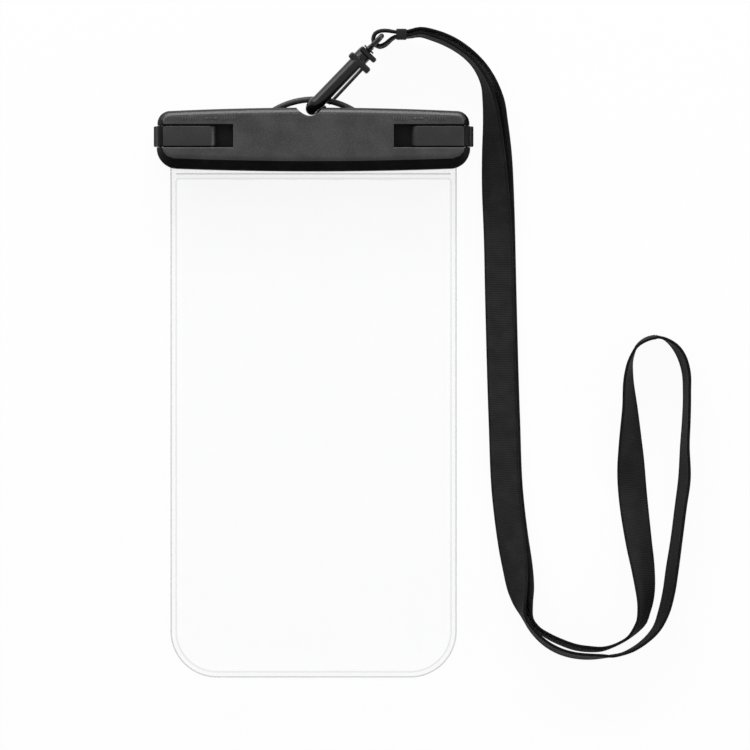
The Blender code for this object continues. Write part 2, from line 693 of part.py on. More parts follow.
def sheet_mesh(name, side, start_y, end_y):
    """A film sheet as an open surface over a grid that follows the bag's outline."""
    inner = (FILM_HALF - WELD_WIDTH) / FILM_HALF
    flat = inner - SHOULDER / FILM_HALF
    half = [0.0, 0.3, 0.6, flat, (2 * flat + inner) / 3, (flat + 2 * inner) / 3, inner, 1.0]
    shares = [-s for s in half[:0:-1]] + half

    def build(shape):
        rows = []
        for half_width, y in bag_rows(start_y, end_y):
            xs = [half_width * s for s in shares]
            rows.append([shape.verts.new((x, y, sheet_height(side, x, y))) for x in xs])
        for lower, upper in zip(rows, rows[1:]):
            for i in range(len(shares) - 1):
                shape.faces.new((lower[i], lower[i + 1], upper[i + 1], upper[i]))

    return mesh_from(build, name)


def make_sheets(parts):
    """The bag's two sheets, and the front sheet's top edge that the front half carries."""
    spans = (
        ("back_sheet", -1, BAG_END_Y, PLATE_HIGH_Y),
        ("front_sheet", 1, BAG_END_Y, LIP_Y - 0.2 * MM),
        ("front_sheet_neck", 1, LIP_Y, PLATE_HIGH_Y),
    )
    for name, side, start_y, end_y in spans:
        mesh = sheet_mesh(name, side, start_y, end_y)
        sheet = add_object(name, mesh, parts, CLEAR_FILM)
        wall = sheet.modifiers.new("film", "SOLIDIFY")
        wall.thickness = FILM
        wall.offset = 0.0
        shade(sheet)
    put_origin(bpy.data.objects["front_sheet_neck"], HINGE)


def lever_outline():
    """Section of an end lever: curled tip, flat arm, bend, leg and knuckle."""
    x, z = KNUCKLE.x, KNUCKLE.z
    end_x = CLAMP_HALF
    inner_x = end_x - LEVER_THICKNESS
    bottom = LEVER_TOP - LEVER_THICKNESS
    curl_x = LEVER_INNER_END + LEVER_CURL
    bend_x = end_x - LEVER_BEND
    tip_z = LEVER_TOP - LEVER_CURL - 0.8 * MM
    outline = [(LEVER_INNER_END, tip_z)]
    outline += arc((curl_x, LEVER_TOP - LEVER_CURL), LEVER_CURL, 180, 90, 5)
    outline += arc((bend_x, LEVER_TOP - LEVER_BEND), LEVER_BEND, 90, 0, 6)
    outline += [(end_x, z + KNUCKLE_RADIUS + 1.4 * MM)]
    outline += arc((x, z), KNUCKLE_RADIUS, 35, -180, 12)
    outline += arc((x, z), KNUCKLE_RADIUS, -180, -235, 4)[1:]
    outline += [(inner_x, z + KNUCKLE_RADIUS + 0.6 * MM)]
    inner_bend = LEVER_BEND - LEVER_THICKNESS
    outline += arc((bend_x, LEVER_TOP - LEVER_BEND), inner_bend, 0, 90, 5)
    inner_curl = LEVER_CURL - LEVER_THICKNESS
    outline += arc((curl_x, LEVER_TOP - LEVER_CURL), inner_curl, 90, 180, 4)
    outline += [(LEVER_INNER_END + LEVER_THICKNESS, tip_z)]
    return outline


def make_levers(parts, cutters):
    """The two end levers and the pins that they turn on."""
    bore_ends = (LEVER_LOW_Y - MM, LEVER_HIGH_Y + MM)
    for name, side in (("left", -1), ("right", 1)):
        outline = [(side * x, 0, z) for x, z in lever_outline()]
        mesh = prism_mesh(name, outline, (0, LEVER_LOW_Y, 0), (0, LEVER_WIDTH, 0))
        lever = add_object(f"{name}_lever", mesh, parts, BLACK_ABS)
        add_bevel(lever, 0.3 * MM, 1, 50)
        pivot = Vector((side * KNUCKLE.x, (LEVER_LOW_Y + LEVER_HIGH_Y) / 2, KNUCKLE.z))
        bore = cylinder_mesh(
            "bore", (pivot.x, bore_ends[0], pivot.z), (pivot.x, bore_ends[1], pivot.z),
            PIN_RADIUS + PIN_PLAY, ROUND_STEPS,
        )
        boolean(lever, [add_object(f"{name}_lever_bore", bore, cutters)])
        shade(lever)
        put_origin(lever, pivot)

        pin = cylinder_mesh(
            f"{name}_lever_pin",
            (pivot.x, LEVER_LOW_Y - PIN_BITE, pivot.z),
            (pivot.x, LEVER_HIGH_Y + PIN_BITE / 2, pivot.z),
            PIN_RADIUS, ROUND_STEPS,
        )
        pin_object = add_object(f"{name}_lever_pin", pin, parts, STEEL)
        shade(pin_object)


def hook_point(along, across, height):
    """A place given along the hook's axis, across it and above the surface."""
    axis = Vector((math.cos(HOOK_ANGLE), math.sin(HOOK_ANGLE), 0))
    side = Vector((math.sin(HOOK_ANGLE), -math.cos(HOOK_ANGLE), 0))
    return HOOK_TIP + axis * along + side * across + Vector((0, 0, height))


def hook_box(name, low, high, collection):
    """A box set square to the hook."""
    low, high = Vector(low), Vector(high)
    mesh = box_mesh(name, low, high)
    side_first = Matrix(((1, 0, 0, 0), (0, -1, 0, 0), (0, 0, 1, 0), (0, 0, 0, 1)))
    turn = Matrix.Rotation(HOOK_ANGLE, 4, "Z")
    mesh.transform(Matrix.Translation(HOOK_TIP) @ turn @ side_first)
    mesh.flip_normals()
    return add_object(name, mesh, collection)


def crook_path():
    """Centre line and radius of the shank and the crook that closes round the arch."""
    points = [hook_point(COLLAR_START + MM, 0, SHANK_HEIGHT)]
    radii = [SHANK_RADIUS]
    for i in range(1, 4):
        along = COLLAR_START + (CROOK_START - COLLAR_START) * i / 4
        points.append(hook_point(along, 0, SHANK_HEIGHT))
        radii.append(SHANK_RADIUS)
    for i in range(10):
        turn = math.pi * i / 9
        share = (1 - math.cos(turn)) / 2
        along = CROOK_START - CROOK_REACH * math.sin(turn)
        across = CROOK_SIDE * share - CROOK_BULGE * math.sin(turn)
        points.append(hook_point(along, across, SHANK_HEIGHT - CROOK_DROP * share))
        if share < 0.5:
            radii.append(SHANK_RADIUS + (CROOK_RADIUS - SHANK_RADIUS) * 2 * share)
        else:
            radii.append(CROOK_RADIUS + (CROOK_END_RADIUS - CROOK_RADIUS) * (2 * share - 1))
    points.append(hook_point(CROOK_START + CROOK_END_RADIUS, CROOK_SIDE, SHANK_HEIGHT - CROOK_DROP))
    radii.append(0.7 * CROOK_END_RADIUS)
    return points, radii


def make_hook(parts, cutters):
    """The snap hook's body: shank, crook, collar with the gate's fork, and swivel boss."""
    points, radii = crook_path()
    body = add_object("hook_body", curve_mesh("hook_body", points, radii, cutters), parts, BLACK_POM)
    collar = hook_box(
        "collar",
        (COLLAR_START, -COLLAR_LEFT, COLLAR_LOW),
        (COLLAR_START + COLLAR_LENGTH, COLLAR_RIGHT, COLLAR_HIGH),
        cutters,
    )
    add_bevel(collar, 0.7 * MM, 2)
    boss = cylinder_mesh(
        "boss",
        hook_point(COLLAR_START + 0.5 * MM, 0, EYE_HEIGHT),
        hook_point(HEAD_START + HEAD_LENGTH / 2, 0, EYE_HEIGHT),
        BOSS_RADIUS,
        20,
    )
    head_end = HEAD_START + HEAD_LENGTH
    head = hook_box(
        "head",
        (HEAD_START, -HEAD_LEFT, EYE_HEIGHT - HEAD_HALF_HEIGHT),
        (head_end, HEAD_RIGHT, EYE_HEIGHT + HEAD_HALF_HEIGHT),
        cutters,
    )
    add_bevel(head, 0.6 * MM, 2)
    boolean(body, [collar, add_object("boss", boss, cutters), head], "UNION")
    bore = cylinder_mesh(
        "swivel_bore",
        hook_point(head_end - BORE_DEPTH, 0, EYE_HEIGHT),
        hook_point(head_end + MM, 0, EYE_HEIGHT),
        STEM_RADIUS + PIN_PLAY,
        20,
    )
    pivot_along = gate_pivot_along()
    play = GATE_ROOT_WIDTH / 2 + GAP
    reach = GATE_ROOT_RADIUS + GAP
    slot = hook_box(
        "gate_slot",
        (COLLAR_START - MM, GATE_PIVOT_SIDE - play, -MM),
        (pivot_along + reach, GATE_PIVOT_SIDE + play, GATE_PIVOT_HEIGHT + reach),
        cutters,
    )
    pin_bore = cylinder_mesh(
        "gate_pin_bore",
        hook_point(pivot_along, GATE_PIVOT_SIDE - play - MM - GAP, GATE_PIVOT_HEIGHT),
        hook_point(pivot_along, COLLAR_RIGHT + MM, GATE_PIVOT_HEIGHT),
        GATE_PIN_RADIUS + PIN_PLAY,
        12,
    )
    boolean(
        body,
        [add_object("swivel_bore", bore, cutters), slot, add_object("gate_pin_bore", pin_bore, cutters)],
    )
    shade(body)
    put_origin(body, (0, ROD_Y, ARCH_HEIGHT))


def gate_pivot_along():
    return COLLAR_START + COLLAR_LENGTH / 2


def make_gate(parts, cutters):
    """The sprung gate, its round root in the collar's fork, and its pin."""
    pivot_along = gate_pivot_along()
    start = CROOK_START + 2 * CROOK_END_RADIUS + GAP
    path = (
        hook_point(start, CROOK_SIDE + 0.3 * MM, GATE_HEIGHT),
        hook_point(start + 2 * MM, CROOK_SIDE + 0.5 * MM, GATE_HEIGHT),
        hook_point((start + pivot_along) / 2, (CROOK_SIDE + GATE_PIVOT_SIDE) / 2 + 0.3 * MM, GATE_HEIGHT),
        hook_point(pivot_along, GATE_PIVOT_SIDE, GATE_HEIGHT + 0.2 * MM),
    )
    bar = curve_mesh("hook_gate", path, [0.8 * GATE_RADIUS] + [GATE_RADIUS] * 3, cutters)
    gate = add_object("hook_gate", bar, parts, BLACK_POM)
    root = cylinder_mesh(
        "gate_root",
        hook_point(pivot_along, GATE_PIVOT_SIDE - GATE_ROOT_WIDTH / 2, GATE_PIVOT_HEIGHT),
        hook_point(pivot_along, GATE_PIVOT_SIDE + GATE_ROOT_WIDTH / 2, GATE_PIVOT_HEIGHT),
        GATE_ROOT_RADIUS,
        ROUND_STEPS,
    )
    boolean(gate, [add_object("gate_root", root, cutters)], "UNION")
    bore = cylinder_mesh(
        "gate_bore",
        hook_point(pivot_along, GATE_PIVOT_SIDE - GATE_ROOT_WIDTH, GATE_PIVOT_HEIGHT),
        hook_point(pivot_along, GATE_PIVOT_SIDE + GATE_ROOT_WIDTH, GATE_PIVOT_HEIGHT),
        GATE_PIN_RADIUS + PIN_PLAY,
        12,
    )
    boolean(gate, [add_object("gate_bore", bore, cutters)])
    shade(gate)
    put_origin(gate, hook_point(pivot_along, GATE_PIVOT_SIDE, GATE_PIVOT_HEIGHT))

    reach = GATE_ROOT_WIDTH / 2 + GAP + MM
    pin = cylinder_mesh(
        "hook_gate_pin",
        hook_point(pivot_along, GATE_PIVOT_SIDE - reach, GATE_PIVOT_HEIGHT),
        hook_point(pivot_along, GATE_PIVOT_SIDE + reach, GATE_PIVOT_HEIGHT),
        GATE_PIN_RADIUS,
        12,
    )
    shade(add_object("hook_gate_pin", pin, parts, STEEL))


def make_swivel_eye(parts, cutters):
    """The D-shaped eye on its stem, which turns in the hook's boss."""
    rod = EYE_ROD / 2
    near = EYE_START
    far = EYE_START + EYE_LENGTH
    top = EYE_OPENING / 2 + rod
    corner = 1.3 * MM
    outline = arc((far - corner, top - corner), corner, 90, 0, 3)
    outline += arc((far - corner, corner - top), corner, 0, -90, 3)
    outline += arc((near + corner, corner - top), corner, -90, -180, 3)
    outline += arc((near + corner, top - corner), corner, 180, 90, 3)
    points = [hook_point(along, 0, EYE_HEIGHT + up) for along, up in outline]
    ring = curve_mesh("swivel_eye", points, [rod] * len(points), cutters, cyclic=True)
    eye = add_object("swivel_eye", ring, parts, BLACK_POM)
    head_end = HEAD_START + HEAD_LENGTH
    stem_start = head_end - BORE_DEPTH + GAP
    stem = cylinder_mesh(
        "stem", hook_point(stem_start, 0, EYE_HEIGHT), hook_point(near, 0, EYE_HEIGHT),
        STEM_RADIUS, ROUND_STEPS,
    )
    flange = cylinder_mesh(
        "flange",
        hook_point(head_end + GAP, 0, EYE_HEIGHT),
        hook_point(head_end + GAP + FLANGE_THICKNESS, 0, EYE_HEIGHT),
        FLANGE_RADIUS,
        20,
    )
    joined = [add_object("stem", stem, cutters), add_object("flange", flange, cutters)]
    boolean(eye, joined, "UNION")
    shade(eye)
    put_origin(eye, hook_point(head_end, 0, EYE_HEIGHT))


def smooth_route(route, lift):
    """Points on a smooth curve through a strap's route, each with its lean in radians."""
    knots = [Vector(knot) for knot in route]
    runs = [(b - a).xy.length for a, b in zip(knots, knots[1:])]
    slopes = [(knots[1] - knots[0]) / runs[0]]
    for i in range(1, len(runs)):
        before = (knots[i] - knots[i - 1]) / runs[i - 1]
        after = (knots[i + 1] - knots[i]) / runs[i]
        slopes.append((before * runs[i] + after * runs[i - 1]) / (runs[i - 1] + runs[i]))
    slopes.append((knots[-1] - knots[-2]) / runs[-1])
    spots = []
    for i, run in enumerate(runs):
        twist = abs(knots[i + 1].z - knots[i].z)
        count = max(1, round(run / STRAP_STEP), math.ceil(twist / STRAP_TWIST))
        for step in range(count):
            t = step / count
            spot = knots[i] * (1 + 2 * t) * (1 - t) ** 2 + slopes[i] * run * t * (1 - t) ** 2
            spot += knots[i + 1] * t * t * (3 - 2 * t) - slopes[i + 1] * run * t * t * (1 - t)
            spots.append(strap_spot(spot, lift))
    spots.append(strap_spot(knots[-1], lift))
    return spots


def strap_spot(spot, lift):
    """A place on the strap: x, y, the height of its middle, and its turn."""
    x, y, lean = spot
    turn = math.radians(abs(lean))
    height = (STRAP_WIDTH * math.cos(turn) + STRAP_THICKNESS * math.sin(turn)) / 2
    height += lift * smoothstep((abs(lean) - 25) / 45) + FLOOR_PLAY
    if y > 100:
        height += (EYE_HEIGHT - height) * smoothstep((54 - x) / 18)
    return (x * MM, y * MM, height, -math.radians(lean))


def add_strap(name, route, lift, parts):
    """A woven strap as a flat swept band on its route."""
    data = bpy.data.curves.new(name, "CURVE")
    data.dimensions = "3D"
    data.twist_mode = "Z_UP"
    data.extrude = (STRAP_WIDTH - STRAP_THICKNESS) / 2
    data.bevel_depth = STRAP_THICKNESS / 2
    data.bevel_resolution = 2
    data.use_fill_caps = True
    spots = smooth_route(route, lift)
    spline = data.splines.new("POLY")
    spline.points.add(len(spots) - 1)
    for spot, place in zip(spline.points, spots):
        spot.co = (place[0], place[1], place[2], 1.0)
        spot.tilt = place[3]
    strap = bpy.data.objects.new(name, data)
    parts.objects.link(strap)
    own = material(BLACK_RIBBON).copy()
    own.name = f"{name}_finish"
    data.materials.append(own)
    return strap


def make_strap(parts):
    """Both strands of the strap, the small loop through the eye, and the crimp."""
    add_strap("strap_outer_strand", OUTER_ROUTE, 0.0, parts)
    add_strap("strap_inner_strand", INNER_ROUTE, STRAP_THICKNESS + 2 * GAP, parts)
    add_strap("strap_eye_loop", EYE_LOOP_ROUTE, 0.0, parts)
    mesh = box_mesh(
        "strap_crimp",
        (CRIMP_X - CRIMP_LENGTH / 2, CRIMP_Y - CRIMP_THICKNESS / 2, EYE_HEIGHT - CRIMP_HEIGHT / 2),
        (CRIMP_X + CRIMP_LENGTH / 2, CRIMP_Y + CRIMP_THICKNESS / 2, EYE_HEIGHT + CRIMP_HEIGHT / 2),
    )
    crimp = add_object("strap_crimp", mesh, parts, BLACK_ABS)
    add_bevel(crimp, 0.4 * MM, 2)


def main():
    clear_scene()
    parts = make_collection("waterproof_phone_case")
    cutters = make_collection("cutters")
    make_rear_shell(parts, cutters)
    make_front_shell(parts, cutters)
    make_plate("rear_clamp_plate", REAR_PLATE_BACK, REAR_PLATE_FRONT, parts)
    make_plate("front_clamp_plate", FRONT_PLATE_BACK, FRONT_PLATE_FRONT, parts)
    make_seals(parts, cutters)
    make_sheets(parts)
    make_levers(parts, cutters)
    make_hook(parts, cutters)
    make_gate(parts, cutters)
    make_swivel_eye(parts, cutters)
    make_strap(parts)
    for cutter in cutters.objects:
        cutter.hide_render = True
        cutter.display_type = "WIRE"
    cutters.hide_render = True


main()
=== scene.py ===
"""Looks of the waterproof phone case: finishes, meshes, strap, floor, lights and camera.

The case lies on its back. +Z is its front, +Y the clamp's side and +X the lanyard's side. Metres.
"""

import logging
import math
from collections.abc import Callable, Mapping, Sequence
from dataclasses import dataclass
from enum import Enum

import bmesh
import bpy
import numpy as np
from mathutils import Matrix, Vector, noise

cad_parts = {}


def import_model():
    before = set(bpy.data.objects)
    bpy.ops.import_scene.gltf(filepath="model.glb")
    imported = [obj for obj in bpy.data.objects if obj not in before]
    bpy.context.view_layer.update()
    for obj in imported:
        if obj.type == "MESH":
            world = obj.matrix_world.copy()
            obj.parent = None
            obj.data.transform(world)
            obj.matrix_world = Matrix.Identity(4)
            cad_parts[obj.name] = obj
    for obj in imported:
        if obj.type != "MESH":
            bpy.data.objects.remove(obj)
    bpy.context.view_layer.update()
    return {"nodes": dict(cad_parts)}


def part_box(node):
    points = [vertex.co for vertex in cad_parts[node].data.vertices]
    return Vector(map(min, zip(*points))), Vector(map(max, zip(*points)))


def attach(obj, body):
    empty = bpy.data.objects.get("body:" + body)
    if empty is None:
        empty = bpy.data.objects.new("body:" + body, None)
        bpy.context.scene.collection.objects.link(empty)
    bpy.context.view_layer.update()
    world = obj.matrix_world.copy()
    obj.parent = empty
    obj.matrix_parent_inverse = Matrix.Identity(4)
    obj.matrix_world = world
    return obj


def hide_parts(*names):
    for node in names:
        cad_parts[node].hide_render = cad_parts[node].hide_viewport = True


LOG = logging.getLogger("phone_case")
MM = 0.001

# Clearance between pieces that touch or seat, and the film's thickness
GAP = 0.3 * MM
FILM = 0.3 * MM

# How far the back sheet rises to meet the clamp
NECK_RISE = 4.2 * MM

# Snap hook's own frame, and the height at which its eye and the strap's crimp sit
HOOK_ANGLE = math.radians(46.0)
HOOK_TIP = Vector((-0.2 * MM, 96.5 * MM, 0.0))
EYE_HEIGHT = 7.1 * MM

# Ribbon of the strap
STRAP_WIDTH = 10.0 * MM
STRAP_THICKNESS = 1.0 * MM
FLOOR_PLAY = 0.03 * MM

# Route of each strand, seen from the front: x and y in millimetres and the lean in degrees
# from standing on edge, towards the left of the way it runs. The strands start inside the crimp.
OUTER_ROUTE = (
    (30.9, 122.35, 2), (32.4, 122.45, 3), (36.6, 123.2, 6), (41.9, 122.2, 7), (49.0, 119.3, 7),
    (54.9, 115.0, 7), (58.9, 110.8, 7), (61.9, 105.7, 10), (63.5, 99.2, 24), (64.0, 91.4, 36),
    (64.4, 81.8, 50), (64.5, 68.0, 68), (64.7, 54.2, 80), (65.2, 30.0, 84), (66.4, -11.7, 84),
    (67.5, -36.9, 82), (69.6, -53.5, 74), (71.5, -63.1, 58), (72.9, -70.4, 40), (73.8, -75.6, 20),
    (75.1, -80.3, 6), (77.5, -83.6, 7), (80.9, -85.9, 9), (85.7, -88.2, 10), (90.7, -89.9, 10),
    (95.4, -90.5, 9), (99.5, -90.5, 6), (102.6, -89.7, 3), (105.4, -88.5, 2), (108.7, -86.5, 3),
    (111.5, -83.5, 12), (113.3, -80.7, 20), (114.0, -77.6, 25), (114.5, -72.8, 36),
    (114.4, -69.0, 44), (113.8, -63.1, 53), (112.3, -53.5, 66), (109.9, -32.8, 82),
    (109.4, -19.7, 54), (109.2, -7.6, 31), (108.8, 4.5, 15), (109.3, 8.6, 8), (110.3, 11.6, 3),
    (111.5, 13.9, 0), (114.6, 16.3, -4), (117.8, 17.2, -4), (118.2, 17.22, -4),
)
INNER_ROUTE = (
    (30.9, 121.0, 2), (32.4, 121.0, 3), (36.6, 121.7, 6), (41.5, 120.4, 7), (48.2, 117.4, 7),
    (52.3, 114.6, 7), (55.6, 111.4, 9), (58.1, 107.5, 12), (59.7, 103.8, 17), (60.6, 99.8, 24),
    (61.6, 91.4, 36), (62.1, 81.8, 50), (62.8, 68.0, 68), (63.6, 54.2, 80), (64.2, 30.0, 84),
    (65.4, -11.7, 84), (66.5, -36.9, 82), (68.4, -53.5, 74), (69.7, -63.1, 58), (70.5, -70.4, 40),
    (71.3, -74.6, 24), (72.5, -79.0, 6), (75.6, -84.0, 7), (79.9, -88.3, 9), (85.0, -91.2, 10),
    (89.9, -92.6, 10), (95.4, -93.1, 9), (99.8, -93.0, 5), (103.0, -92.9, 0), (106.5, -92.2, 0),
    (109.9, -90.8, -3), (114.0, -88.1, -6), (118.5, -83.3, -12), (121.0, -77.5, -19),
    (122.6, -71.1, -21), (123.8, -63.1, -22), (125.2, -53.5, -20), (126.8, -41.1, -20),
    (128.0, -32.1, -21), (128.2, -19.7, -14), (128.7, -11.0, -12), (128.9, -2.4, -11),
    (128.5, 5.9, -13), (127.1, 10.4, -13), (125.2, 13.5, -10), (122.8, 15.7, -4),
    (120.7, 16.9, 0), (118.4, 17.22, -2), (118.1, 17.22, -4),
)
EYE_LOOP_ROUTE = (
    (29.6, 122.5, 3), (28.2, 122.5, 3), (25.9, 122.9, 4), (23.3, 122.9, 4), (21.3, 122.0, 4),
    (20.6, 120.2, 3), (21.1, 118.4, 3), (22.8, 117.5, 4), (24.9, 118.3, 4), (26.7, 119.9, 3),
    (28.2, 120.8, 2), (29.6, 121.1, 2),
)

Color = tuple[float, float, float]
Point = tuple[float, float, float]
Spread = tuple[float, float]


class Side(Enum):
    """The two ends of the clamp, with the sign of their x."""

    LEFT = -1
    RIGHT = 1


class Cut(Enum):
    """What a boolean does with the other bodies."""

    AWAY = "DIFFERENCE"
    JOIN = "UNION"


# Node trees


class Wiring:
    """A node tree, and the one method that adds nodes to it."""

    def __init__(self, tree: bpy.types.NodeTree) -> None:
        """Takes the tree that it adds to."""
        self.tree = tree

    def node(
        self,
        kind: str,
        settings: Mapping[str, object] | None = None,
        inputs: Mapping[str | int, object] | None = None,
    ) -> bpy.types.Node:
        """Adds a node.

        Args:
            kind: The node's type.
            settings: Its own properties, set before its sockets.
            inputs: Values or links of its sockets, by name or number.

        Returns:
            The node.
        """
        node = self.tree.nodes.new(kind)
        for name, value in (settings or {}).items():
            setattr(node, name, value)
        self.feed(node, inputs or {})
        return node

    def feed(self, node: bpy.types.Node, inputs: Mapping[str | int, object]) -> None:
        """Sets or links a node's sockets.

        Args:
            node: The node.
            inputs: Values, signals or sockets, by the input's name or number.
        """
        for key, value in inputs.items():
            source = value.socket if isinstance(value, Signal) else value
            if isinstance(source, bpy.types.NodeSocket):
                self.tree.links.new(source, node.inputs[key])
            else:
                node.inputs[key].default_value = source


class Signal:
    """A shader value that adds, subtracts, multiplies and divides like a number."""

    def __init__(self, wiring: Wiring, socket: bpy.types.NodeSocket) -> None:
        """Takes the tree's wiring and the socket that gives the value."""
        self.wiring = wiring
        self.socket = socket

    def join(self, operation: str, *values: "Signal | float") -> "Signal":
        """Puts values through one Math node, in their order.

        Args:
            operation: The Math node's operation.
            values: Signals or plain numbers.

        Returns:
            The node's result.
        """
        node = self.wiring.node("ShaderNodeMath", {"operation": operation}, dict(enumerate(values)))
        return Signal(self.wiring, node.outputs[0])

    def __add__(self, other: "Signal | float") -> "Signal":
        """Returns the sum."""
        return self.join("ADD", self, other)

    def __sub__(self, other: "Signal | float") -> "Signal":
        """Returns the difference."""
        return self.join("SUBTRACT", self, other)

    def __mul__(self, other: "Signal | float") -> "Signal":
        """Returns the product."""
        return self.join("MULTIPLY", self, other)

    def __truediv__(self, other: "Signal | float") -> "Signal":
        """Returns the quotient."""
        return self.join("DIVIDE", self, other)

    def __radd__(self, other: float) -> "Signal":
        """Returns the sum with a number in front."""
        return self.join("ADD", other, self)

    def __rsub__(self, other: float) -> "Signal":
        """Returns the difference with a number in front."""
        return self.join("SUBTRACT", other, self)

    def __rmul__(self, other: float) -> "Signal":
        """Returns the product with a number in front."""
        return self.join("MULTIPLY", other, self)

    def __rtruediv__(self, other: float) -> "Signal":
        """Returns the quotient with a number in front."""
        return self.join("DIVIDE", other, self)

    def sine(self) -> "Signal":
        """Returns the sine of this value in radians."""
        return self.join("SINE", self)

    def size(self) -> "Signal":
        """Returns the value without its sign."""
        return self.join("ABSOLUTE", self)

    def larger(self, other: "Signal | float") -> "Signal":
        """Returns the larger of two values."""
        return self.join("MAXIMUM", self, other)

    def step(self, low: float, high: float) -> "Signal":
        """Rises smoothly from 0 at low to 1 at high.

        Args:
            low: Where the rise starts.
            high: Where it ends.

        Returns:
            The eased value.
        """
        node = self.wiring.node(
            "ShaderNodeMapRange",
            {"interpolation_type": "SMOOTHSTEP"},
            {"Value": self, "From Min": low, "From Max": high},
        )
        return Signal(self.wiring, node.outputs["Result"])

    def line(self, middle: float, half_width: float) -> "Signal":
        """A soft stripe: 1 at the middle, 0 from half_width away.

        Args:
            middle: Value at the stripe's middle.
            half_width: Distance over which it fades.

        Returns:
            The stripe's strength.
        """
        return 1.0 - (self - middle).size().step(0.35 * half_width, half_width)


class Finish(Wiring):
    """A material under construction: its shader and the patterns that feed it."""

    def __init__(self, name: str, constants: Mapping[str, object] | None = None) -> None:
        """Starts a material.

        Args:
            name: Its name.
            constants: Plain values of its shader's sockets.
        """
        self.material = bpy.data.materials.new(name)
        self.material.use_nodes = True
        super().__init__(self.material.node_tree)
        self.shader = self.tree.nodes["Principled BSDF"]
        self.feed(self.shader, constants or {})

    def part(self, source: str, index: int) -> Signal:
        """One number of a coordinate.

        Args:
            source: Object for the object's own metres, or UV.
            index: 0, 1 or 2.

        Returns:
            The number.
        """
        place = self.node("ShaderNodeTexCoord").outputs[source]
        split = self.node("ShaderNodeSeparateXYZ", inputs={0: place})
        return Signal(self, split.outputs[index])

    def grain(self, pitch: float, detail: float = 2.0, stretch: Point = (1.0, 1.0, 1.0)) -> Signal:
        """Noise of a real size.

        Args:
            pitch: Size of its lumps in metres.
            detail: Octaves of finer noise.
            stretch: Factors on the coordinates, to draw the lumps out.

        Returns:
            The noise, around 0.5.
        """
        place = self.node("ShaderNodeTexCoord").outputs["Object"]
        scaled = self.node(
            "ShaderNodeVectorMath", {"operation": "MULTIPLY"}, {0: place, 1: stretch}
        )
        node = self.node(
            "ShaderNodeTexNoise",
            inputs={"Vector": scaled.outputs[0], "Scale": 1.0 / pitch, "Detail": detail},
        )
        return Signal(self, node.outputs["Fac"])

    def attribute(self, name: str) -> Signal:
        """Returns a number kept on the mesh's points."""
        node = self.node("ShaderNodeAttribute", {"attribute_name": name})
        return Signal(self, node.outputs["Fac"])

    def tint(self, factor: Signal, first: Color, second: Color) -> bpy.types.NodeSocket:
        """Blends two colours.

        Args:
            factor: 0 gives the first colour and 1 the second.
            first: Linear RGB.
            second: Linear RGB.

        Returns:
            The colour.
        """
        node = self.node(
            "ShaderNodeMix",
            {"data_type": "RGBA"},
            {0: factor, 6: (*first, 1.0), 7: (*second, 1.0)},
        )
        return node.outputs[2]

    def bump(self, height: Signal, distance: float) -> None:
        """Feeds a height pattern to the shader's normal.

        Args:
            height: The pattern, 0 to 1.
            distance: Real height of 1 in metres.
        """
        node = self.node("ShaderNodeBump", inputs={"Height": height, "Distance": distance})
        self.feed(self.shader, {"Normal": node.outputs["Normal"]})


# Finishes


def grey(value: float) -> Color:
    """A near-neutral dark tone, a trace cooler than pure grey."""
    return (value, value, 1.03 * value)


@dataclass(frozen=True)
class Plastic:
    """A moulded plastic: its tones, gloss and grain."""

    name: str
    tones: Spread
    roughness: Spread
    specular: float
    grain_pitch: float
    grain_height: float
    mottle_pitch: float = 9 * MM

    def build(self) -> bpy.types.Material:
        """Returns the material."""
        finish = Finish(self.name, {"Specular IOR Level": self.specular})
        fine = finish.grain(self.grain_pitch).step(0.3, 0.7)
        broad = finish.grain(self.mottle_pitch, 3.0).step(0.34, 0.66)
        dark, light = (grey(tone) for tone in self.tones)
        low, high = self.roughness
        inputs = {
            "Base Color": finish.tint(0.55 * fine + 0.45 * broad, dark, light),
            "Roughness": low + (high - low) * (0.5 * fine + 0.5 * broad),
        }
        finish.feed(finish.shader, inputs)
        finish.bump(fine, self.grain_height)
        return finish.material


CLAMP_FACE = Plastic(
    "clamp_black_grained", (0.029, 0.061), (0.34, 0.46), 0.5, 0.45 * MM, 0.03 * MM
)
# Painted shade: the sides' smooth plastic, coloured near black with little gloss because the sides
# face away from the lights.
CLAMP_SIDE_SHADE = Plastic("clamp_black_smooth_painted_shade", (0.001, 0.004), (0.36, 0.5), 0.07, 0.8 * MM, 0.005 * MM)
# Painted shade: a duller, slightly darker copy of the face's plastic on the steep rim above the
# upper bevel.
CLAMP_RIM_SHADE = Plastic("clamp_black_rim_painted_shade", (0.026, 0.042), (0.5, 0.6), 0.12, 0.45 * MM, 0.02 * MM)
# Painted highlight: the clamp's black plastic made lighter on the tops of the raised marks.
CLAMP_MARK_HIGHLIGHT = Plastic("clamp_black_mark_painted_highlight", (0.06, 0.1), (0.3, 0.4), 0.5, 0.3 * MM, 0.01 * MM)
# Painted shade: a darker, duller copy of the face's plastic in the finger recesses.
CLAMP_RECESS_SHADE = Plastic("clamp_black_recess_painted_shade", (0.014, 0.024), (0.5, 0.6), 0.15, 0.6 * MM, 0.01 * MM)
LEVER_SATIN = Plastic("lever_black_satin", (0.02, 0.03), (0.32, 0.46), 0.45, 0.4 * MM, 0.015 * MM)
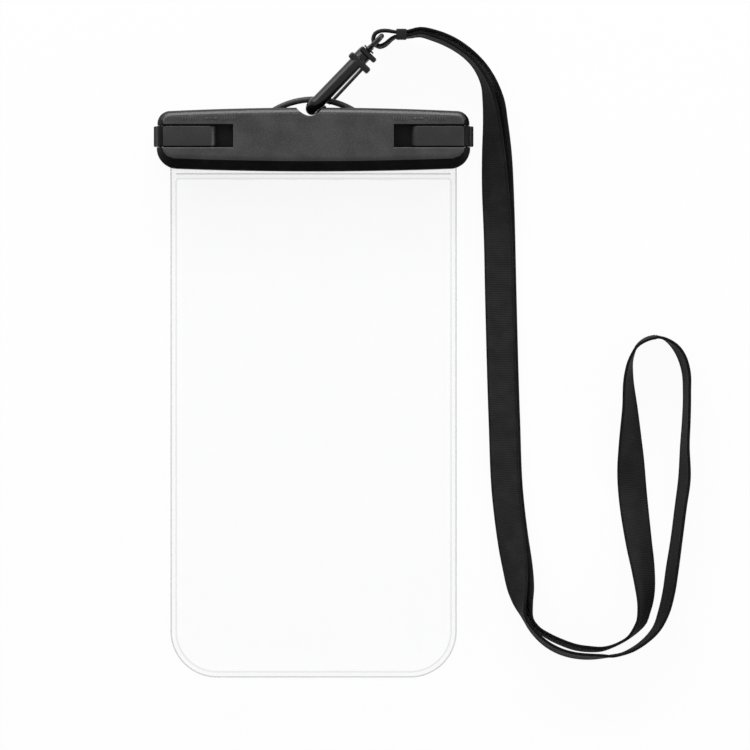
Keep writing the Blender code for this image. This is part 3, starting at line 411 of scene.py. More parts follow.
# Painted shade: the lever's satin plastic made near black past the face's end, where the lever
# bends away from the lights.
LEVER_END_SHADE = Plastic("lever_black_end_painted_shade", (0.005, 0.009), (0.45, 0.55), 0.08, 0.5 * MM, 0.008 * MM)
REAR_SATIN = Plastic(
    "rear_half_black_satin", (0.02, 0.045), (0.38, 0.52), 0.4, 0.45 * MM, 0.02 * MM
)
PLATE_MATT = Plastic("plate_black_matt", (0.014, 0.028), (0.45, 0.6), 0.4, 0.5 * MM, 0.01 * MM)
HOOK_GLOSS = Plastic("hook_black_gloss", (0.004, 0.009), (0.17, 0.27), 0.55, 0.8 * MM, 0.005 * MM)
CRIMP_MATT = Plastic("crimp_black_matt", (0.005, 0.012), (0.5, 0.66), 0.25, 0.35 * MM, 0.02 * MM)
SEAL_SILICONE = Plastic(
    "seal_dark_silicone", (0.035, 0.058), (0.54, 0.68), 0.4, 0.4 * MM, 0.01 * MM
)


@dataclass(frozen=True)
class DrawnSteel:
    """Bright pins with fine marks along their length."""

    name: str = "pin_bright_steel"
    streak_pitch: float = 0.4 * MM
    streak_height: float = 0.004 * MM

    def build(self) -> bpy.types.Material:
        """Returns the material."""
        finish = Finish(self.name, {"Metallic": 1.0})
        streak = finish.grain(self.streak_pitch, 2.0, (1.0, 0.05, 1.0))
        inputs = {
            "Base Color": finish.tint(streak, (0.5, 0.5, 0.51), (0.68, 0.68, 0.69)),
            "Roughness": 0.2 + 0.18 * streak,
        }
        finish.feed(finish.shader, inputs)
        finish.bump(streak, self.streak_height)
        return finish.material


@dataclass(frozen=True)
class ClearFilm:
    """Clear soft film: almost nothing over its flat, with a milky weld and pressed lines."""

    name: str = "clear_soft_film"
    body: float = 0.02
    weld: float = 0.025
    edge_line: float = 0.16
    weld_line: float = 0.05
    fold_line: float = 0.13
    haze_pitch: float = 26 * MM
    wave_pitch: float = 14 * MM
    relief: float = 0.12 * MM
    inner_reach: float = 0.42 * MM
    outer_place: float = 0.12 * MM
    outer_reach: float = 0.5 * MM
    fold_place: float = 0.85 * MM
    fold_reach: float = 0.36 * MM
    fold_start: Spread = (1.9 * MM, 2.3 * MM)
    weld_start: Spread = (-0.15 * MM, 0.1 * MM)

    def build(self) -> bpy.types.Material:
        """Returns the material."""
        finish = Finish(self.name, {"Specular IOR Level": 0.5})
        edge = finish.attribute("edge_distance")
        rim = finish.attribute("rim_distance")
        below = finish.attribute("lip_distance")
        haze = finish.grain(self.haze_pitch, 3.0)
        inner = rim.line(0.0, self.inner_reach)
        outer = edge.line(self.outer_place, self.outer_reach)
        fold = below.line(self.fold_place, self.fold_reach) * edge.step(*self.fold_start)
        weld = 1.0 - rim.step(*self.weld_start)
        lines = (inner + outer + fold).join("MINIMUM", inner + outer + fold, 1.0)
        alpha = self.body * (0.7 + 0.6 * haze) + self.weld * weld
        alpha = alpha + self.weld_line * inner + self.edge_line * outer + self.fold_line * fold
        inputs = {
            "Base Color": finish.tint(lines, (0.94, 0.96, 0.97), (0.5, 0.52, 0.53)),
            "Alpha": alpha,
            "Roughness": 0.07 + 0.08 * haze + 0.15 * weld,
        }
        finish.feed(finish.shader, inputs)
        finish.bump(finish.grain(self.wave_pitch, 1.0) + 0.4 * lines, self.relief)
        finish.material.surface_render_method = "BLENDED"
        return finish.material


@dataclass(frozen=True)
class WovenRibbon:
    """Black woven ribbon: ribs across it, threads along it and a firm selvedge, with painted shade
    where it stands on edge.
    """

    name: str = "strap_black_woven"
    tones: Spread = (0.004, 0.042)
    rib_pitch: float = 0.62 * MM
    thread_pitch: float = 0.45 * MM
    selvedge: Spread = (0.9 * MM, 0.5 * MM)
    wear_pitch: float = 5 * MM
    relief: float = 0.05 * MM

    def build(self) -> bpy.types.Material:
        """Returns the material."""
        finish = Finish(self.name, {"Specular IOR Level": 0.08})
        along, across = finish.part("UV", 0), finish.part("UV", 1)
        rib = 0.5 + 0.5 * (along * (2 * math.pi / self.rib_pitch)).sine()
        thread = 0.5 + 0.5 * (across * (2 * math.pi / self.thread_pitch)).sine()
        weave = rib * 0.6 + rib * thread * 0.4
        half = STRAP_WIDTH / 2
        edge = (across - half).size().step(*(half - place for place in self.selvedge))
        worn = finish.grain(self.wear_pitch, 4.0)
        # Painted shade: the tone falls towards the dark one where the ribbon stands on edge
        # (flatness 0).
        flat = finish.attribute("flatness")
        tone = (0.45 * weave + 0.55 * worn - 0.25 * edge) * (0.2 + 0.8 * flat)
        dark, light = (grey(value) for value in self.tones)
        inputs = {
            "Base Color": finish.tint(tone, dark, light),
            "Roughness": 0.62 + 0.2 * worn,
        }
        finish.feed(finish.shader, inputs)
        finish.bump(weave * (1.0 - 0.4 * edge) + 0.5 * edge, self.relief)
        return finish.material


@dataclass(frozen=True)
class WhiteGround:
    """A white floor that keeps a soft shadow."""

    name: str = "floor_white"
    glow: float = 0.95

    def build(self) -> bpy.types.Material:
        """Returns the material."""
        constants = {
            "Base Color": (0.9, 0.9, 0.9, 1.0), "Roughness": 0.9, "Specular IOR Level": 0.2,
        }
        finish = Finish(self.name, constants)
        glow = finish.node("ShaderNodeEmission", inputs={"Strength": 1.0})
        rays = finish.node("ShaderNodeLightPath")
        seen = Signal(finish, rays.outputs["Is Camera Ray"])
        for kind in ("Is Glossy Ray", "Is Transmission Ray"):
            seen = seen.larger(Signal(finish, rays.outputs[kind]))
        blend = finish.node(
            "ShaderNodeMixShader",
            inputs={0: self.glow * seen, 1: finish.shader.outputs[0], 2: glow.outputs[0]},
        )
        output = next(node for node in finish.tree.nodes if node.type == "OUTPUT_MATERIAL")
        finish.feed(output, {"Surface": blend.outputs[0]})
        return finish.material


# Meshes


def smoothstep(value: float) -> float:
    """Eases a value from 0 to 1."""
    value = min(max(value, 0.0), 1.0)
    return value * value * (3 - 2 * value)


def arc(
    center: Sequence[float], radius: float, start: float, end: float, steps: int
) -> list[Spread]:
    """Points of a circular arc in a plane.

    Args:
        center: Its middle, two numbers.
        radius: Its radius.
        start: First angle in degrees.
        end: Last angle in degrees.
        steps: Number of chords.

    Returns:
        Pairs of numbers.
    """
    angles = [math.radians(start + (end - start) * i / steps) for i in range(steps + 1)]
    return [(center[0] + radius * math.cos(a), center[1] + radius * math.sin(a)) for a in angles]


def mesh_from(name: str, build: Callable[[bmesh.types.BMesh], None]) -> bpy.types.Mesh:
    """A mesh filled by a function that works on a bmesh, with its faces turned outwards.

    Args:
        name: The mesh's name.
        build: What fills it.

    Returns:
        The mesh.
    """
    shape = bmesh.new()
    build(shape)
    shape.normal_update()
    bmesh.ops.recalc_face_normals(shape, faces=shape.faces[:])
    mesh = bpy.data.meshes.new(name)
    shape.to_mesh(mesh)
    shape.free()
    return mesh


def box_mesh(low: Sequence[float], high: Sequence[float]) -> bpy.types.Mesh:
    """A box between two corners.

    Args:
        low: Its lowest corner.
        high: Its highest corner.

    Returns:
        The mesh.
    """
    low, high = Vector(low), Vector(high)

    def build(shape: bmesh.types.BMesh) -> None:
        """Fills the bmesh with the box."""
        bmesh.ops.create_cube(shape, size=1.0)
        size = Matrix.Diagonal((*(high - low), 1.0))
        shape.transform(Matrix.Translation((low + high) / 2) @ size)

    return mesh_from("block", build)


def rod_mesh(
    start: Sequence[float], end: Sequence[float], radius: float, segments: int = 48
) -> bpy.types.Mesh:
    """A round bar between two points.

    Args:
        start: Middle of one end.
        end: Middle of the other.
        radius: Its radius.
        segments: Faces around it.

    Returns:
        The mesh.
    """
    start, end = Vector(start), Vector(end)

    def build(shape: bmesh.types.BMesh) -> None:
        """Fills the bmesh with the bar.

        Args:
            shape: The bmesh.
        """
        bmesh.ops.create_cone(
            shape, cap_ends=True, segments=segments,
            radius1=radius, radius2=radius, depth=(end - start).length,
        )
        turn = (end - start).to_track_quat("Z", "Y").to_matrix().to_4x4()
        shape.transform(Matrix.Translation((start + end) / 2) @ turn)

    return mesh_from("rod", build)


def loft_mesh(rings: Sequence[Sequence[Point]], cyclic: bool = False) -> bpy.types.Mesh:
    """A body through rings of equal point counts.

    Args:
        rings: The rings, each a closed loop of points.
        cyclic: Whether the last ring meets the first; otherwise both ends are capped.

    Returns:
        The mesh.
    """

    def build(shape: bmesh.types.BMesh) -> None:
        """Fills the bmesh with the rings and the faces between them.

        Args:
            shape: The bmesh.
        """
        rows = [[shape.verts.new(point) for point in ring] for ring in rings]
        pairs = list(zip(rows, rows[1:]))
        if cyclic:
            pairs.append((rows[-1], rows[0]))
        else:
            shape.faces.new(rows[0][::-1])
            shape.faces.new(rows[-1])
        for lower, upper in pairs:
            for i, corner in enumerate(lower):
                following = (i + 1) % len(lower)
                shape.faces.new((corner, lower[following], upper[following], upper[i]))

    return mesh_from("loft", build)


def prism_mesh(outline: Sequence[Point], along: Sequence[float]) -> bpy.types.Mesh:
    """A flat outline pushed along a vector."""
    return loft_mesh([outline, [tuple(Vector(point) + Vector(along)) for point in outline]])


def sweep_mesh(
    path: Sequence[Vector], radii: Sequence[float], sides: int = 32, cyclic: bool = False
) -> bpy.types.Mesh:
    """A round bar along a path that lies in a plane or turns gently.

    Args:
        path: Its centre line.
        radii: One radius for each point.
        sides: Points around it.
        cyclic: Whether it closes on itself.

    Returns:
        The mesh.
    """
    points = [Vector(point) for point in path]
    last = len(points) - 1
    normal = None
    rings = []
    for i, (point, radius) in enumerate(zip(points, radii)):
        after = points[(i + 1) % len(points)] if cyclic else points[min(i + 1, last)]
        before = points[i - 1] if cyclic else points[max(i - 1, 0)]
        tangent = (after - before).normalized()
        normal = tangent.orthogonal() if normal is None else normal
        normal = (normal - tangent * normal.dot(tangent)).normalized()
        other = tangent.cross(normal)
        turns = [2 * math.pi * k / sides for k in range(sides)]
        rings.append(
            [tuple(point + radius * (math.cos(t) * normal + math.sin(t) * other)) for t in turns]
        )
    return loft_mesh(rings, cyclic)


def smooth_path(points: Sequence[Vector], steps: int) -> list[Vector]:
    """Points on a Catmull-Rom curve through given points.

    Args:
        points: What it passes through.
        steps: Points in each span.

    Returns:
        The finer path, both ends included.
    """
    known = [Vector(point) for point in points]
    padded = [2 * known[0] - known[1], *known, 2 * known[-1] - known[-2]]
    fine = []
    for a, b, c, d in zip(padded, padded[1:], padded[2:], padded[3:]):
        for t in (i / steps for i in range(steps)):
            bend = (2 * a - 5 * b + 4 * c - d) * t * t + (3 * b - a - 3 * c + d) * t**3
            fine.append(0.5 * (2 * b + (c - a) * t + bend))
    fine.append(known[-1])
    return fine


def point_values(mesh: bpy.types.Mesh) -> np.ndarray:
    """Places of a mesh's points, one row each."""
    places = np.empty(3 * len(mesh.vertices), dtype=np.float32)
    mesh.vertices.foreach_get("co", places)
    return places.reshape(-1, 3)


def polygon_values(mesh: bpy.types.Mesh) -> tuple[np.ndarray, np.ndarray]:
    """Normals and middles of a mesh's polygons, one row each.

    Args:
        mesh: The mesh.

    Returns:
        The normals and the middles.
    """
    values = []
    for name in ("normal", "center"):
        numbers = np.empty(3 * len(mesh.polygons), dtype=np.float32)
        mesh.polygons.foreach_get(name, numbers)
        values.append(numbers.reshape(-1, 3))
    return values[0], values[1]


def keep_value(mesh: bpy.types.Mesh, name: str, values: np.ndarray) -> None:
    """Writes one number on each of a mesh's points."""
    attribute = mesh.attributes.new(name, "FLOAT", "POINT")
    attribute.data.foreach_set("value", values.astype(np.float32))


class Piece:
    """An object being made: its mesh, cuts, joins, edges and shading."""

    def __init__(self, name: str, mesh: bpy.types.Mesh) -> None:
        """Puts an object of that name with that mesh into the scene."""
        self.name = name
        self.object = bpy.data.objects.new(name, mesh)
        bpy.context.scene.collection.objects.link(self.object)

    def apply(self) -> "Piece":
        """Turns what the modifiers give into the mesh itself.

        Returns:
            The piece.
        """
        graph = bpy.context.evaluated_depsgraph_get()
        graph.update()
        mesh = bpy.data.meshes.new_from_object(self.object.evaluated_get(graph))
        old = self.object.data
        self.object.modifiers.clear()
        self.object.data = mesh
        bpy.data.meshes.remove(old)
        mesh.name = self.name
        return self

    def combine(self, meshes: Sequence[bpy.types.Mesh], cut: Cut) -> "Piece":
        """Cuts meshes out of the piece, or joins them to it.

        Args:
            meshes: The other bodies.
            cut: Which of the two.

        Returns:
            The piece.
        """
        for mesh in meshes:
            tool = bpy.data.objects.new("tool", mesh)
            bpy.context.scene.collection.objects.link(tool)
            step = self.object.modifiers.new("cut", "BOOLEAN")
            step.operation = cut.value
            step.solver = "EXACT"
            step.object = tool
        self.apply()
        for mesh in meshes:
            bpy.data.meshes.remove(mesh)
        return self

    def bevel(self, width: float, segments: int = 3, angle: float = 40.0) -> "Piece":
        """Rounds the sharp edges.

        Args:
            width: How far the rounding reaches.
            segments: Faces across it.
            angle: Edges sharper than this, in degrees, are rounded.

        Returns:
            The piece.
        """
        edge = self.object.modifiers.new("edge", "BEVEL")
        edge.width = width
        edge.segments = segments
        edge.limit_method = "ANGLE"
        edge.angle_limit = math.radians(angle)
        return self.apply()

    def melt(self, voxel: float, rounds: int) -> "Piece":
        """Runs joined bodies together with small fillets, as a moulding has.

        Args:
            voxel: Size of the new faces.
            rounds: How often the surface is evened out.

        Returns:
            The piece.
        """
        remesh = self.object.modifiers.new("melt", "REMESH")
        remesh.mode = "VOXEL"
        remesh.voxel_size = voxel
        even = self.object.modifiers.new("even", "SMOOTH")
        even.factor = 0.5
        even.iterations = rounds
        return self.apply()

    def shade(self, angle: float = 35.0) -> "Piece":
        """Smooth shading, with edges sharper than the angle kept."""
        self.object.data.shade_smooth()
        self.object.data.set_sharp_from_angle(angle=math.radians(angle))
        return self

    def release(self) -> bpy.types.Mesh:
        """Returns the piece's mesh and removes its object."""
        mesh = self.object.data
        bpy.data.objects.remove(self.object, do_unlink=True)
        return mesh

    def finish(
        self,
        materials: Sequence[bpy.types.Material],
        body: str,
        slot: str,
        nodes: Sequence[str] = (),
        which: np.ndarray | None = None,
    ) -> "Piece":
        """Gives the piece its materials, its body and the nodes that it stands for.

        Args:
            materials: Its finishes.
            body: The body that it moves with.
            slot: Not used.
            nodes: CAD nodes that it stands for.
            which: Number of the finish on each face, where it has more than one.

        Returns:
            The piece.
        """
        mesh = self.object.data
        mesh.materials.clear()
        for material in materials:
            mesh.materials.append(material)
        if which is None:
            which = np.zeros(len(mesh.polygons), dtype=np.int32)
        mesh.polygons.foreach_set("material_index", which.astype(np.int32))
        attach(self.object, body)
        if nodes:
            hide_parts(*nodes)
        LOG.info("%s rides on %s", self.name, body)
        return self


@dataclass(frozen=True)
class BarRow:
    """Small bars in a row along X, repeated by Geometry Nodes."""

    count: int
    pitch: float
    size: Point
    middle: Point
    material: bpy.types.Material

    INPUTS = (
        ("Count", "NodeSocketInt"),
        ("Start", "NodeSocketVector"),
        ("Step", "NodeSocketVector"),
        ("Bar Size", "NodeSocketVector"),
        ("Material", "NodeSocketMaterial"),
    )

    def tree(self) -> tuple[bpy.types.NodeTree, dict[str, str]]:
        """Builds the tree.

        Returns:
            The tree, and the identifier of each named input.
        """
        tree = bpy.data.node_groups.new("bar_row", "GeometryNodeTree")
        tree.interface.new_socket(
            name="Geometry", in_out="OUTPUT", socket_type="NodeSocketGeometry"
        )
        keys = {}
        for name, kind in self.INPUTS:
            socket = tree.interface.new_socket(name=name, in_out="INPUT", socket_type=kind)
            keys[name] = socket.identifier
        wiring = Wiring(tree)
        given = wiring.node("NodeGroupInput").outputs
        line = wiring.node(
            "GeometryNodeMeshLine",
            {"mode": "OFFSET"},
            {"Count": given["Count"], "Start Location": given["Start"], "Offset": given["Step"]},
        )
        bar = wiring.node("GeometryNodeMeshCube", inputs={"Size": given["Bar Size"]})
        row = wiring.node(
            "GeometryNodeInstanceOnPoints",
            inputs={"Points": line.outputs["Mesh"], "Instance": bar.outputs["Mesh"]},
        )
        real = wiring.node("GeometryNodeRealizeInstances", inputs={0: row.outputs[0]})
        dressed = wiring.node(
            "GeometryNodeSetMaterial",
            inputs={"Geometry": real.outputs[0], "Material": given["Material"]},
        )
        wiring.node("NodeGroupOutput", inputs={0: dressed.outputs[0]})
        return tree, keys

    def mesh(self, edge: float) -> bpy.types.Mesh:
        """Repeats the bar and rounds its edges.

        Args:
            edge: Radius of the bars' edges.

        Returns:
            A plain mesh.
        """
        tree, keys = self.tree()
        step = Vector((self.pitch, 0, 0))
        piece = Piece("bar_row", bpy.data.meshes.new("bar_row"))
        row = piece.object.modifiers.new("row", "NODES")
        row.node_group = tree
        row[keys["Count"]] = self.count
        row[keys["Start"]] = tuple(Vector(self.middle) - step * (self.count - 1) / 2)
        row[keys["Step"]] = tuple(step)
        row[keys["Bar Size"]] = self.size
        row[keys["Material"]] = self.material
        piece.apply()
        return piece.bevel(edge, 2).release()


# Sizes read from the frame


@dataclass(frozen=True)
class Layout:
    """Places of the clamp, levers and film, read from the frame."""

    clamp_half: float
    lip_y: float
    clamp_top_y: float
    arch_peak_y: float
    skirt_low_z: float
    rear_depth: float
    front_back: float
    front_face: float
    lever_low_y: float
    lever_high_y: float
    lever_inner_end: float
    lever_top: float
    knuckle_x: float
    knuckle_z: float
    knuckle_radius: float
    bag_end_y: float
    film_half: float
    plate_low_y: float
    plate_high_y: float
    rear_plate_back: float
    rear_plate_front: float
    front_plate_back: float
    front_plate_front: float
    pocket_front_z: float

    @classmethod
    def from_frame(cls) -> "Layout":
        """Reads the boxes of the nodes.

        Returns:
            The layout.
        """
        front_low, front_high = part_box("front_shell")
        rear_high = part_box("rear_shell")[1]
        lever_low, lever_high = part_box("right_lever")
        pin_low, pin_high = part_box("right_lever_pin")
        back_low, back_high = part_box("back_sheet")
        sheet_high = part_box("front_sheet")[1]
        rear_plate_low, rear_plate_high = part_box("rear_clamp_plate")
        front_plate_low, front_plate_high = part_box("front_clamp_plate")
        knuckle_x = (pin_low[0] + pin_high[0]) / 2
        return cls(
            clamp_half=front_high[0],
            lip_y=front_low[1],
            clamp_top_y=front_high[1],
            arch_peak_y=rear_high[1],
            skirt_low_z=front_low[2],
            rear_depth=rear_high[2],
            front_back=rear_high[2] + GAP,
            front_face=front_high[2],
            lever_low_y=lever_low[1],
            lever_high_y=lever_high[1],
            lever_inner_end=lever_low[0],
            lever_top=lever_high[2],
            knuckle_x=knuckle_x,
            knuckle_z=(pin_low[2] + pin_high[2]) / 2,
            knuckle_radius=lever_high[0] - knuckle_x,
            bag_end_y=back_low[1],
            film_half=back_high[0],
            plate_low_y=rear_plate_low[1],
            plate_high_y=rear_plate_high[1],
            rear_plate_back=rear_plate_low[2],
            rear_plate_front=rear_plate_high[2],
            front_plate_back=front_plate_low[2],
            front_plate_front=front_plate_high[2],
            pocket_front_z=sheet_high[2] - FILM / 2,
        )


# The clamp


@dataclass(frozen=True)
class EdgeForm:
    """How an edge of the clamp draws in towards its face.

    Its knots are depths below the face, each with how far the edge is drawn in there. The last
    one lies in the face, and the corner at it has a fillet.
    """

    knots: tuple[Spread, ...]
    fillet: float

    def inset(self, depth: float) -> float:
        """How far the edge is drawn in at a depth below the face.

        Args:
            depth: The depth.

        Returns:
            The distance.
        """
        (deep, outer), (_, corner) = self.knots[-2:]
        turn = math.atan2(deep, corner - outer)
        if depth < self.fillet * (1 - math.cos(turn)):
            middle = corner + self.fillet * math.tan(turn / 2)
            return middle - math.sqrt(self.fillet**2 - (self.fillet - depth) ** 2)
        depths, insets = zip(*self.knots[::-1])
        return float(np.interp(depth, depths, insets))


@dataclass(frozen=True)
class Clamp:
    """Both halves of the clamp, their levers and the small raised marks on the front."""

    at: Layout
    bow_top: float = 1.4 * MM
    bow_bottom: float = 1.2 * MM
    corner_top: float = 4.4 * MM
    corner_bottom: float = 6.9 * MM
    taper: float = 0.25 * MM
    end_skirt: float = 3.2 * MM
    low_edge: EdgeForm = EdgeForm(((3.2 * MM, 0.0), (0.0, 4.1 * MM)), 3.2 * MM)
    top_edge: EdgeForm = EdgeForm(
        ((3.2 * MM, 0.0), (1.3 * MM, 0.3 * MM), (0.74 * MM, 0.75 * MM), (0.16 * MM, 1.6 * MM),
         (0.0, 2.3 * MM)),
        0.8 * MM,
    )
    end_edge: EdgeForm = EdgeForm(
        ((3.2 * MM, 0.0), (0.35 * MM, 1.5 * MM), (0.0, 1.9 * MM)), 0.1 * MM
    )
    skirt_levels: tuple[Spread, ...] = ((0.0, 0.9), (0.0, 0.5), (0.15, 0.15), (0.5, 0.0))
    straight_depth: float = 4.5 * MM
    edge_depths: tuple[float, ...] = (
        3.6, 3.2, 2.6, 2.0, 1.6, 1.3, 1.0, 0.74, 0.55, 0.4, 0.28, 0.2, 0.16, 0.12, 0.09, 0.06,
        0.035, 0.015, 0.0,
    )
    face_rims: Spread = (0.25, 0.6)
    rim_depth: float = 1.35 * MM
    bevel_depth: float = 1.3 * MM
    face_depth: float = 0.75 * MM
    arch_half_span: float = 12.4 * MM
    arch_rod: float = 2.1 * MM
    arch_height: float = 5.7 * MM
    notch_half_width: float = 5.9 * MM
    notch_depth: float = 2.85 * MM
    scoop_middle: float = -1.4 * MM
    scoop_half_width: float = 4.5 * MM
    notch_round: float = 0.35 * MM
    swing_half_width: float = 6.5 * MM
    swing_depth: float = 3.7 * MM
    swing_height: float = 12.5 * MM
    lever_thickness: float = 1.8 * MM
    lever_bend: float = 3.8 * MM
    lever_curl: float = 2.6 * MM
    lever_edge: float = 0.38 * MM
    lever_tip_drop: float = 0.8 * MM
    lever_leg_end: float = 1.4 * MM
    lever_leg_root: float = 0.6 * MM
    # Past this distance from the clamp's end, a lever gets its painted shade.
    shaded_end: float = 2.3 * MM
    finger_gap: float = 5.7 * MM
    finger_depth: float = 4.3 * MM
    finger_round: float = 0.8 * MM
    finger_far_x: float = 40 * MM
    channel_round: float = 0.5 * MM
    foot_room: float = 2.0 * MM
    pin_room: float = 0.6 * MM
    pin_room_low: float = 2.4 * MM
    pin_room_high: float = 1.2 * MM
    rear_round: float = 2.4 * MM
    rear_end_share: float = 0.83
    rear_edge: float = 0.25 * MM
    mark_y: float = 92.6 * MM
    mark_height: float = 1.1 * MM
    mark_rise: float = 0.24 * MM
    mark_root: float = 0.2 * MM
    mark_edge: float = 0.05 * MM
    bar_width: float = 0.42 * MM
    bar_pitch: float = 0.9 * MM
    bar_rows: tuple[tuple[float, int], ...] = (
        (-42.8 * MM, 6), (-29.3 * MM, 6), (29.9 * MM, 6), (42.6 * MM, 7),
    )
    arrows: tuple[Spread, ...] = ((-35.2 * MM, 5.0 * MM), (36.1 * MM, 4.2 * MM))
    arrow_head: float = 1.3 * MM
    arrow_half_line: float = 0.17 * MM
    edge_steps: int = 72
    corner_steps: int = 20

    def ring(self, z: float, low: float = 0.0, high: float = 0.0, end: float = 0.0) -> list[Point]:
        """The clamp's bowed outline at one height.

        Args:
            z: The height.
            low: How far it is drawn in from the lower edge.
            high: How far from the upper edge.
            end: How far from both ends.

        Returns:
            Points all round.
        """
        at = self.at
        half = at.clamp_half - end
        radius_low = max(self.corner_bottom - (low + end) / 2, 2 * MM)
        radius_high = max(self.corner_top - (high + end) / 2, 2 * MM)

        def low_y(x: float) -> float:
            """Returns the lower edge's y."""
            return at.lip_y + low + self.bow_bottom * (x / at.clamp_half) ** 2

        def high_y(x: float) -> float:
            """Returns the upper edge's y."""
            return at.clamp_top_y - high - self.bow_top * (x / at.clamp_half) ** 2

        run_low, run_high = half - radius_low, half - self.taper - radius_high
        steps = [-1 + 2 * i / self.edge_steps for i in range(self.edge_steps + 1)]
        middle_low = low_y(run_low) + radius_low
        middle_high = high_y(run_high) - radius_high
        corner = self.corner_steps
        outline = [(run_low * s, low_y(run_low * s)) for s in steps]
        outline += arc((run_low, middle_low), radius_low, -90, 0, corner)[1:]
        outline += arc((run_high, middle_high), radius_high, 0, 90, corner)
        outline += [(-run_high * s, high_y(run_high * s)) for s in steps][1:]
        outline += arc((-run_high, middle_high), radius_high, 90, 180, corner)[1:]
        outline += arc((-run_low, middle_low), radius_low, 180, 270, corner)[:-1]
        return [(x, y, z) for x, y in outline]

    def front_rings(self) -> list[list[Point]]:
        """Rings of the front half from its skirt to its face.

        Returns:
            The rings, each a closed loop.
        """
        at = self.at
        edges = (self.low_edge, self.top_edge, self.end_edge)
        rings = []
        for rise, inset in self.skirt_levels:
            rings.append(self.ring(at.skirt_low_z + rise * MM, *[inset * MM] * 3))
        rings.append(self.ring(at.front_face - self.straight_depth))
        for depth in self.edge_depths:
            insets = [edge.inset(depth * MM) for edge in edges]
            rings.append(self.ring(at.front_face - depth * MM, *insets))
        for further in self.face_rims:
            rings.append(self.ring(at.front_face, *(inset + further * MM for inset in insets)))
        return rings

    def scoop(
        self, middle_x: float, half_width: float, depth: float, levels: Sequence[Spread]
    ) -> bpy.types.Mesh:
        """A round cut in the upper edge.

        Args:
            middle_x: Its middle.
            half_width: Half its width at the edge.
            depth: How far it goes in.
            levels: Heights, each with what it widens by there.

        Returns:
            The mesh that cuts it.
        """
        radius = (half_width**2 + depth**2) / (2 * depth)
        middle = (middle_x, self.at.clamp_top_y - depth + radius)
        rings = []
        for z, extra in levels:
            around = arc(middle, radius + extra, 0, 360, 128)[:-1]
            rings.append([(x, y, z) for x, y in around])
        return loft_mesh(rings)

    def notch(self, middle_x: float, half_width: float) -> bpy.types.Mesh:
        """The scoop in the upper edge, below the lanyard arch, with its rim rounded.

        Args:
            middle_x: Its middle.
            half_width: Half its width at the edge.

        Returns:
            The mesh that cuts it.
        """
        face, spread = self.at.front_face, self.notch_round
        levels = [(-MM, 0.0)]
        for i in range(6):
            turn = math.radians(18 * i)
            levels.append((face - spread * (1 - math.sin(turn)), spread * (1 - math.cos(turn))))
        levels.append((face + MM, spread))
        return self.scoop(middle_x, half_width, self.notch_depth, levels)

    def swing_room(self) -> bpy.types.Mesh:
        """The wider room beneath the face that the hook's crook swings through."""
        levels = [(-MM, 0.0), (self.swing_height, 0.0)]
        return self.scoop(0.0, self.swing_half_width, self.swing_depth, levels)

    def pocket(self, low_z: float, high_z: float) -> bpy.types.Mesh:
        """The recess that a plate, the film and a seal lie in.

        Args:
            low_z: Its lowest height.
            high_z: Its highest height.

        Returns:
            The mesh that cuts it.
        """
        at = self.at
        half = at.film_half + GAP
        low = (-half, at.plate_low_y - GAP, low_z)
        return box_mesh(low, (half, at.plate_high_y + GAP, high_z))

    def lip(self, lip_z: float, inner_z: float, far_z: float) -> bpy.types.Mesh:
        """The wedge that leaves the film its way out of the lower edge.

        Args:
            lip_z: Height of its slope at the lower edge.
            inner_z: Height of its slope at the plate.
            far_z: Height of its flat side, past the other half.

        Returns:
            The mesh that cuts it.
        """
        at = self.at
        outer_y = at.lip_y - 2 * MM
        slope = (inner_z - lip_z) / (at.plate_low_y - at.lip_y)
        half = at.film_half + GAP
        outline = [
            (-half, outer_y, lip_z + slope * (outer_y - at.lip_y)),
            (-half, at.plate_low_y, inner_z),
            (-half, at.plate_low_y, far_z),
            (-half, outer_y, far_z),
        ]
        return prism_mesh(outline, (2 * half, 0, 0))

    def lever_room(self, side: Side) -> list[bpy.types.Mesh]:
        """The channel, finger recess and end slot of a lever, and the channel's rounded rim.

        Args:
            side: The clamp's end.

        Returns:
            The meshes that cut them.
        """
        at, sign = self.at, side.value
        floor = at.lever_top - self.lever_thickness - GAP
        end_x = at.clamp_half - self.lever_thickness - GAP
        inner_x = at.lever_inner_end - self.finger_gap
        step_x = at.lever_inner_end + self.lever_curl
        bend = self.lever_bend - self.lever_thickness - GAP
        dip = self.finger_round
        bottom = at.front_face - self.finger_depth
        outline = [(inner_x, at.front_face + MM)]
        outline += arc((inner_x + dip, bottom + dip), dip, 180, 270, 6)
        outline += [(step_x - 0.2 * MM, bottom), (step_x + 0.2 * MM, floor)]
        outline += arc((end_x - bend, floor - bend), bend, 90, 0, 12)
        foot_x, far_x = end_x - self.foot_room, at.clamp_half + 3 * MM
        outline += [(end_x, at.front_back + MM), (foot_x, at.front_back - MM)]
        outline += [(foot_x, -MM), (far_x, -MM), (far_x, at.front_face + MM)]
        low_y, high_y = at.lever_low_y - GAP, at.lever_high_y + GAP
        room = prism_mesh([(sign * x, low_y, z) for x, z in outline], (0, high_y - low_y, 0))
        rings = []
        outer_x = at.clamp_half + 2 * MM
        for i in range(7):
            turn = math.radians(15 * i)
            spread = self.channel_round * (1 - math.cos(turn))
            z = at.front_face - self.channel_round * (1 - math.sin(turn))
            near_x = inner_x - spread
            rings.append(
                [(sign * near_x, low_y - spread, z), (sign * outer_x, low_y - spread, z),
                 (sign * outer_x, high_y + spread, z), (sign * near_x, high_y + spread, z)]
            )
        rings.append([(x, y, at.front_face + MM) for x, y, _ in rings[-1]])
        return [room, loft_mesh(rings)]

